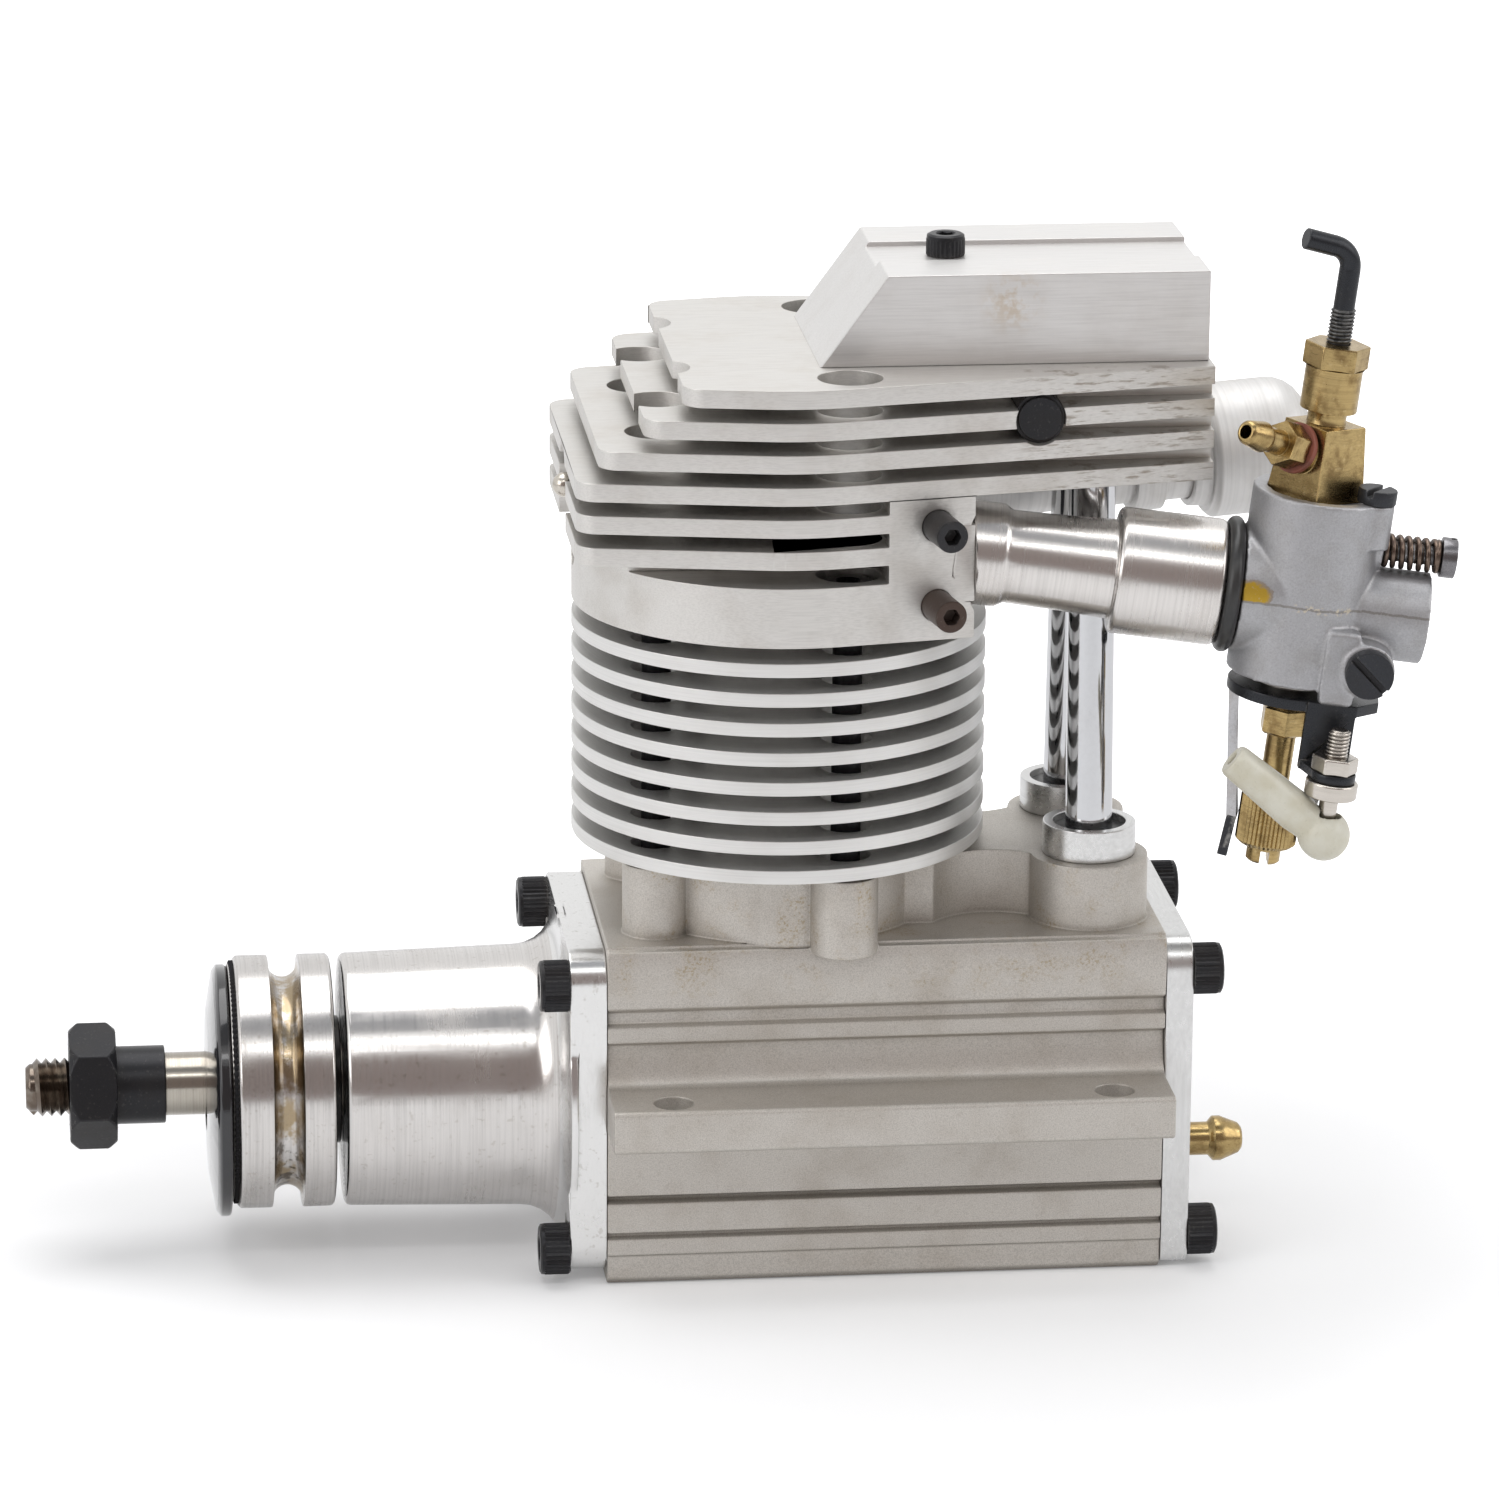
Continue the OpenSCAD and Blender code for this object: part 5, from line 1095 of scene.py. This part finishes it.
@dataclass
class Cylinder:
    """The finned cylinder, the plated head, its bolts and the parts inside."""

    model: Model
    bolt_circle: float = 22.0
    seat: float = 94.051
    bolt_len: float = 46.0
    pillar_r: float = 3.3
    pillar_top: float = 135.2
    stud_low: float = 48.0
    fin_r: float = 28.0
    plate_z: float = 106.93
    plate_pitch: float = 4.33
    plate_lean: float = 10.45
    plate_rear: float = 55.7
    plate_rear_w: float = 18.2
    corner_reach: float = 12.0
    core_inset: float = 0.8
    pad_wall: Triple = (4.2, 1.8, 10.4)
    pad_wall_x: float = 17.5
    port_z: float = 100.901

    def taper(self) -> float:
        """The angle between the plates' sides and the engine's length, in degrees."""
        front_w = self.fin_r / math.cos(math.radians(self.plate_lean))
        return math.degrees(math.atan((front_w - self.plate_rear_w) / self.plate_rear))

    def bolts(self) -> None:
        """Models the four head bolts and the pillar that carries the cover screw."""
        pattern = CapScrew(length=self.bolt_len).build("head_bolt")
        places = [Place((self.bolt_circle * math.cos(math.radians(72 * b)),
                         self.bolt_circle * math.sin(math.radians(72 * b)), self.seat),
                        (0, 0, 31 * b)) for b in range(1, 5)]
        bolts = Bench.repeat("head_bolts_knurled", pattern, places)
        pillar = Bench.turned("pillar", [(self.stud_low, 1.98), (self.seat, 1.98),
                                         (self.seat, self.pillar_r),
                                         (self.pillar_top - 0.3, self.pillar_r),
                                         (self.pillar_top, self.pillar_r - 0.3)])
        hole = Bench.turned("pillar_hole", [(self.pillar_top - 10, 1.52),
                                            (self.pillar_top + 1, 1.52)], 32)
        Bench.cut(pillar, hole)
        Bench.set_down(pillar, Place((self.bolt_circle, 0, 0)))
        Bench.smooth(pillar)
        self.model.put(Bench.join("head_bolts_knurled", [bolts, pillar]), BLACK, "head_bolts")

    def head(self) -> None:
        """Shows the head with its lowest plate square-fronted and its intake pad whole."""
        piece = self.model.copied("cylinder_head")
        corners = Bench.twin(piece, "head_corners")
        half = self.fin_r + self.corner_reach
        around = Bench.block("corner_box", (-half / 2, 0, self.plate_z),
                             (half, 2 * half, self.plate_pitch - 1))
        Bench.cut(corners, around, "INTERSECT")
        core = self.fin_r - self.core_inset
        Bench.cut(corners, Bench.turned("corner_core", [(self.plate_z - 5, core),
                                                        (self.plate_z + 5, core)], 128))
        Bench.set_down(corners, Place((0, 0, -self.plate_pitch)))
        Bench.cut(piece, corners, "UNION")
        wall_y = self.pad_wall[1] / 2 - self.fin_r
        wall = Bench.block("pad_wall", (self.pad_wall_x, wall_y, 0), self.pad_wall)
        Bench.set_down(wall, Place((0, 0, self.port_z), (0, 0, self.taper())))
        Bench.cut(wall, Bench.block("beyond", (PORT_FACE + 5, -self.fin_r, self.port_z),
                                    (10, 20, 20)))
        Bench.cut(piece, wall, "UNION")
        Bench.clean(piece)
        self.model.round("cylinder_head", HEAD, 0.14, piece=piece)

    def build(self) -> None:
        """Models and dresses the whole group."""
        self.model.round("finned_cylinder", FINS, 0.14)
        self.head()
        self.bolts()
        self.model.coat(IRON, "cylinder_liner", "piston_ring")
        self.model.coat(PISTON, "piston", "connecting_rod")
        self.model.coat(PLAIN_STEEL, "wrist_pin")
        self.model.round("glow_plug", NICKEL, 0.12)


@dataclass
class ValveGear:
    """The rocker cover, the pushrod tubes and collars, and the moving valve parts."""

    model: Model
    screw_at: Triple = (22.0, 0.0, 137.001)

    def build(self) -> None:
        """Models and dresses the whole group."""
        self.model.round("rocker_cover", COVER, 0.22)
        pattern = CapScrew(2.6, 3.0, 1.48, 9.0, 2.6, 56).build("cover_cap_screw")
        screw = Bench.repeat("cover_screw_knurled", pattern, [Place(self.screw_at, (0, 0, 12))])
        self.model.put(screw, BLACK, "rocker_cover_screw")
        self.model.round("rocker_shaft_plugs", BLACK, 0.15)
        self.model.coat(CHROME, "pushrod_tubes")
        self.model.round("tappet_collars", COLLAR, 0.2)
        self.model.coat(RUBBER, "o_rings")
        for side in ("intake", "exhaust"):
            steel = [f"{side}_{part}" for part in ("rocker", "valve", "retainer", "pushrod",
                                                   "tappet", "cam")]
            self.model.coat(PLAIN_STEEL, *steel)
            self.model.coat(SPRING, f"{side}_valve_spring")
        self.model.coat(PLAIN_STEEL, "cam_pins", "rocker_shaft")


@dataclass
class Pipes:
    """The intake pipe with its clamp screws, and the exhaust pipe with its silencer."""

    model: Model

    def build(self) -> None:
        """Models and dresses the whole group."""
        pipe = self.model.copied("intake_manifold")
        Bench.cut(pipe, Bench.block("inside", (PORT_FACE - 10, -18.5, 100), (20, 30, 30)))
        self.model.round("intake_manifold", PIPE, 0.35, piece=pipe)
        self.model.round("manifold_screws", BROWNED, 0.2)
        self.model.round("exhaust_header", EXHAUST, 0.2)
        self.model.round("silencer", EXHAUST, 0.25)


@dataclass
class Carburettor:
    """The carburettor with its throttle, its two needles, the ball link and the stop screw."""

    model: Model
    knob_r: float = 4.1
    knob_low: float = -34.5
    knob_high: float = -27.9
    knob_facets: int = 80
    slot_half: float = 0.6
    top: float = 14.2
    recess_r: float = 6.9
    recess: float = 0.9
    lug_at: Triple = (5.3, -7.7, -7.5)
    lug: Triple = (4.6, 2.6, 10.2)
    link_at: Triple = (6.2, -11.6, -29.4)
    link_lean: float = -57.0
    strip_w: float = 1.35
    strip_t: float = 0.5

    def idle_needle(self) -> None:
        """Models the knurled idle needle with its slotted end."""
        r, low, high = self.knob_r, self.knob_low, self.knob_high
        knob = Bench.turned("idle_knob", [(-37.4, 2.0), (-37.1, 2.3), (-35.0, 2.3), (-35.0, 3.5),
                                          (low, r), (high, r), (high + 0.5, 3.5),
                                          (high + 0.5, 1.95), (-19.4, 1.95)], self.knob_facets)
        Bench.knurl(knob, low - 0.1, high + 0.1, r - 0.1, self.knob_facets, 0.06)
        Bench.cut(knob, Bench.block("slot", (0, 0, -37.3), (2 * self.slot_half, 10, 3.4)))
        nut = Bench.turned("idle_nut", [(-19.4, 2.9), (-19.1, 3.3), (-15.9, 3.3), (-15.6, 2.9)], 6)
        stem = Bench.turned("idle_stem", [(-15.6, 1.25), (-7.6, 1.25), (-7.4, 1.0)], 32)
        piece = Bench.join("idle_needle_knurled", [knob, nut, stem])
        Bench.set_down(piece, BARREL)
        Bench.smooth(piece, 24)
        self.model.put(piece, replace(BRASS, name="idle brass", place=BARREL), "idle_needle")

    def threads(self) -> None:
        """Models the threads that show on the needle, the ball stud and the stop screw."""
        needle = Bench.wound("needle_thread", 1.42, 0.25, 0.5, 9, 34.3, 4, 0.26)
        Bench.set_down(needle, NEEDLE_AXIS)
        self.model.put(needle, ARM, "needle", stands=False)
        stud = Bench.wound("stud_thread", 1.24, 0.25, 0.5, 7, -18.6, 4, 0.26)
        Bench.set_down(stud, STUD_AXIS)
        self.model.put(stud, STUD, "ball_stud", stands=False)
        stop = Bench.wound("stop_thread", 1.2, 0.25, 0.5, 9, 10.4, 4, 0.2)
        Bench.set_down(stop, STOP_AXIS)
        self.model.put(stop, SPRING, "idle_stop_screw", stands=False)

    def body(self) -> None:
        """Shows the body with its hollow top and the brass block standing in it."""
        body = self.model.copied("carburettor_body")
        hollow = Bench.turned("top_hollow", [(self.top - self.recess, self.recess_r),
                                             (self.top + 2, self.recess_r)])
        Bench.cut(body, Bench.set_down(hollow, BARREL))
        lug = Bench.block("body_lug", self.lug_at, self.lug)
        Bench.apply(lug, "BEVEL", {"width": 0.6 * MM, "segments": 3})
        body = Bench.join("carburettor_body_worked", [body, Bench.set_down(lug, BARREL)])
        self.model.cast("carburettor_body", CASTING, 0.27, 3, body)
        upright = BARREL.matrix().inverted()
        block = self.model.copied("needle_body")
        down = BARREL.matrix().to_3x3() @ Vector((0, 0, -self.recess))
        Bench.shift(block, lambda at: (upright @ (at * MM)).z / MM < self.top + 0.1, tuple(down))
        self.model.round("needle_body", BRASS, 0.2, piece=block)

    def link(self) -> None:
        """Shows the ball link with its sleeve widening into the ball, as moulded."""
        sleeve = Bench.turned("link_sleeve", [(2.6, 2.5), (5.0, 2.75), (15.6, 2.35), (16.2, 2.1)])
        Bench.cut(sleeve, Bench.turned("sleeve_bore", [(8.0, 0.95), (17.0, 0.95)], 24))
        Bench.set_down(sleeve, BARREL.inner(self.link_at, (0, self.link_lean, 0)))
        piece = Bench.join("ball_link_moulded", [self.model.copied("ball_link"), sleeve])
        self.model.cast("ball_link", NYLON, 0.16, 6, piece)

    def stop_spring(self) -> None:
        """Models the spring that holds the stop screw, its end turns closed up."""
        coil = Bench.wound("stop_coil", 1.95, 0.38, 1.16, 6, 9.85)
        ends = [Bench.wound("stop_end", 1.95, 0.36, 0.1, 1, low) for low in (9.78, 16.7)]
        piece = Bench.join("idle_stop_coil", [coil, *ends])
        Bench.set_down(piece, STOP_AXIS)
        Bench.smooth(piece, 50)
        self.model.put(piece, SPRING, "idle_stop_spring")

    def click_spring(self) -> None:
        """Shows the click spring with its arms turned flat to the camera, its ends blued."""
        turned = BARREL.inner(angles=(0, 0, -10))

        def strip(name: str, x: float, z: float, length: float, lean: float) -> Piece:
            """One straight length of the strip, at its middle, leaning in the arm's plane."""
            piece = Bench.block(name, (0, 0, 0), (self.strip_w, self.strip_t, length))
            return Bench.set_down(piece, turned.inner((x, -1.5, z), (0, lean, 0)))

        arms = [strip("arm", -6.0, -22.95, 17.6, -7.25), strip("arm", 6.5, -22.95, 17.6, 10.5)]
        whole = Bench.join("click_spring_worked", [self.model.copied("click_spring"), *arms])
        self.model.round("click_spring", LEAF, 0.08, piece=whole)
        ends = [strip("end", -5.1, -34.3, 5.8, 5.0), strip("end", 5.3, -32.85, 2.8, -15.6)]
        tips = Bench.join("click_spring_ends", ends)
        Bench.ease(tips, 0.12)
        Bench.smooth(tips)
        self.model.put(tips, BLUED, "click_spring", stands=False)

    def build(self) -> None:
        """Models and dresses the whole group."""
        self.body()
        self.link()
        self.idle_needle()
        self.threads()
        self.stop_spring()
        self.model.round("throttle_arm", ARM, 0.18)
        self.model.round("carburettor_screws", BLUED, 0.2)
        self.model.round("idle_stop_screw", STOP, 0.14)
        nipple = replace(BRASS, name="nipple brass", place=NIPPLE_AXIS)
        self.model.round("fuel_nipple", nipple, 0.14)
        self.model.round("fibre_washer", FIBRE, 0.12)
        self.model.cast("needle", ARM, 0.13, 5)
        self.model.round("ball_stud", STUD, 0.3, 3)
        self.click_spring()
        self.model.coat(PLAIN_STEEL, "throttle_barrel")


@dataclass(frozen=True)
class Lamp:
    """A rectangular lamp, its place and its sides in metres, aimed at the engine."""

    name: str
    place: Triple
    width: float
    height: float
    power: float


@dataclass(frozen=True)
class Card:
    """A flat or curved card that only reflections show."""

    name: str
    colour: Triple


@dataclass
class Studio:
    """The camera of the photograph, its lamps, a pale floor and what the metal reflects."""

    eye: Triple = (-107.94, -935.29, 347.27)
    right: Triple = (0.99405, -0.10869, 0.00694)
    up: Triple = (0.02423, 0.28279, 0.95888)
    back: Triple = (-0.10618, -0.95300, 0.28374)
    lens: float = 173.66
    world_light: float = 0.47
    lamps: tuple[Lamp, ...] = (
        Lamp("overhead", (-0.1, 0.22, 1.1), 1.0, 0.8, 5.8),
        Lamp("left", (-1.0, -0.55, 0.55), 0.7, 0.7, 3.8),
        Lamp("right", (0.95, -0.35, 0.6), 0.7, 0.7, 3.2),
        Lamp("strip", (0.0, -0.82, 0.98), 1.3, 0.1, 1.6),
    )
    room: Card = Card("dim_room", (0.31, 0.262, 0.248))
    ceiling: Card = Card("grey_ceiling", (0.4, 0.41, 0.43))
    open_floor: tuple[float, float] = (0.08, 0.24)
    floor_glow: tuple[float, float] = (0.15, 0.8)
    floor_gloss: float = 0.12
    wall_edge: float = -0.35

    def camera(self) -> None:
        """Sets the photograph's camera up."""
        data = bpy.data.cameras.new("photograph")
        data.lens, data.sensor_width = self.lens, 36.0
        data.clip_start, data.clip_end = 0.05, 30.0
        view = bpy.data.objects.new("photograph", data)
        bpy.context.collection.objects.link(view)
        turn = Matrix((self.right, self.up, self.back)).transposed().to_4x4()
        view.matrix_world = Matrix.Translation(Vector(self.eye) * MM) @ turn
        bpy.context.scene.camera = view

    def light(self) -> None:
        """Hangs the lamps, all aimed at the engine."""
        for lamp in self.lamps:
            data = bpy.data.lights.new(lamp.name, "AREA")
            data.shape, data.size, data.size_y = "RECTANGLE", lamp.width, lamp.height
            data.energy = lamp.power
            hung = bpy.data.objects.new(lamp.name, data)
            bpy.context.collection.objects.link(hung)
            hung.location = lamp.place
            aim = Vector((0, 0, 0.07)) - Vector(lamp.place)
            hung.rotation_euler = aim.to_track_quat("-Z", "Y").to_euler()

    def world(self) -> None:
        """Makes the world white to the camera and to gloss, and softer as a light."""
        world = bpy.data.worlds.new("studio")
        bpy.context.scene.world = world
        graph = Graph(world)
        path = graph.add("ShaderNodeLightPath")
        camera, gloss, glass = (Sock(graph, path.outputs[ray]) for ray in (
            "Is Camera Ray", "Is Glossy Ray", "Is Transmission Ray"))
        seen = graph.maths("MAXIMUM", graph.maths("MAXIMUM", camera, gloss), glass)
        strength = self.world_light + seen * (1 - self.world_light)
        light = graph.made("ShaderNodeBackground", values={"Color": (1, 1, 1, 1),
                                                           "Strength": strength})
        graph.add("ShaderNodeOutputWorld", values={"Surface": light})

    def floor(self) -> None:
        """Lays the white floor, which keeps the engine's shadow."""
        bpy.ops.object.select_all(action="DESELECT")
        bpy.ops.mesh.primitive_plane_add(size=8, location=(0, 0, -0.0001))
        floor = bpy.context.active_object
        floor.name = "floor"
        graph = Graph.named("white floor")
        path = graph.add("ShaderNodeLightPath")
        x, y, _ = graph.split(graph.coords(UPRIGHT))
        far = ((x * x + y * y) ** 0.5).rise(*self.open_floor)
        near_glow, far_glow = self.floor_glow
        seen = Sock(graph, path.outputs["Is Camera Ray"]) * (near_glow + far * far_glow)
        gloss = Sock(graph, path.outputs["Is Glossy Ray"]) * self.floor_gloss
        glow = graph.made("ShaderNodeEmission", values={"Color": (1, 1, 1, 1),
                                                        "Strength": seen + gloss})
        paper = graph.made("ShaderNodeBsdfDiffuse", values={"Color": (0.86, 0.86, 0.87, 1)})
        both = graph.made("ShaderNodeAddShader", values={0: glow, 1: paper})
        graph.add("ShaderNodeOutputMaterial", values={"Surface": both})
        floor.data.materials.append(graph.owner)

    def show_in_gloss(self, piece: Piece, card: Card) -> None:
        """Gives a piece a card's glow, and hides it from all but reflections."""
        piece.name = card.name
        graph = Graph.named(card.name)
        glow = graph.made("ShaderNodeEmission", values={"Color": (*card.colour, 1),
                                                        "Strength": 1.0})
        graph.add("ShaderNodeOutputMaterial", values={"Surface": glow})
        piece.data.materials.append(graph.owner)
        piece.visible_camera = piece.visible_diffuse = piece.visible_shadow = False

    def cards(self) -> None:
        """Stands a dim wall round the camera's side and hangs a grey ceiling over it."""
        bpy.ops.object.select_all(action="DESELECT")
        bpy.ops.mesh.primitive_cylinder_add(vertices=64, radius=1.7, depth=1.44,
                                            end_fill_type="NOTHING", location=(0, 0, 0.76))
        wall = bpy.context.active_object
        with Bench.editing(wall):
            bpy.ops.mesh.select_all(action="SELECT")
            bpy.ops.mesh.bisect(plane_co=(0, self.wall_edge, 0), plane_no=(0, 1, 0),
                                clear_outer=True)
        self.show_in_gloss(wall, self.room)
        bpy.ops.object.select_all(action="DESELECT")
        bpy.ops.mesh.primitive_plane_add(size=1, location=(0, -0.5, 1.55))
        ceiling = bpy.context.active_object
        bpy.ops.transform.resize(value=(2.6, 0.78, 1))
        Bench.set_down(ceiling)
        self.show_in_gloss(ceiling, self.ceiling)

    def build(self) -> None:
        """Sets the studio up."""
        self.camera()
        self.light()
        self.world()
        self.floor()
        self.cards()
        bpy.context.scene.view_settings.view_transform = "Standard"


def main() -> None:
    """Builds the studio and the groups in order and logs the nodes left without a finish."""
    logging.basicConfig(level=logging.INFO, format="%(message)s")
    model = Model()
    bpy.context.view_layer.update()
    Studio().build()
    for group in (Crankcase, PropellerDrive, Cylinder, ValveGear, Pipes, Carburettor):
        LOG.info("group %s", group.__name__)
        group(model).build()
    for node in sorted(model.undressed):
        LOG.warning("no finish on %s", node)


if __name__ == "__main__":
    main()
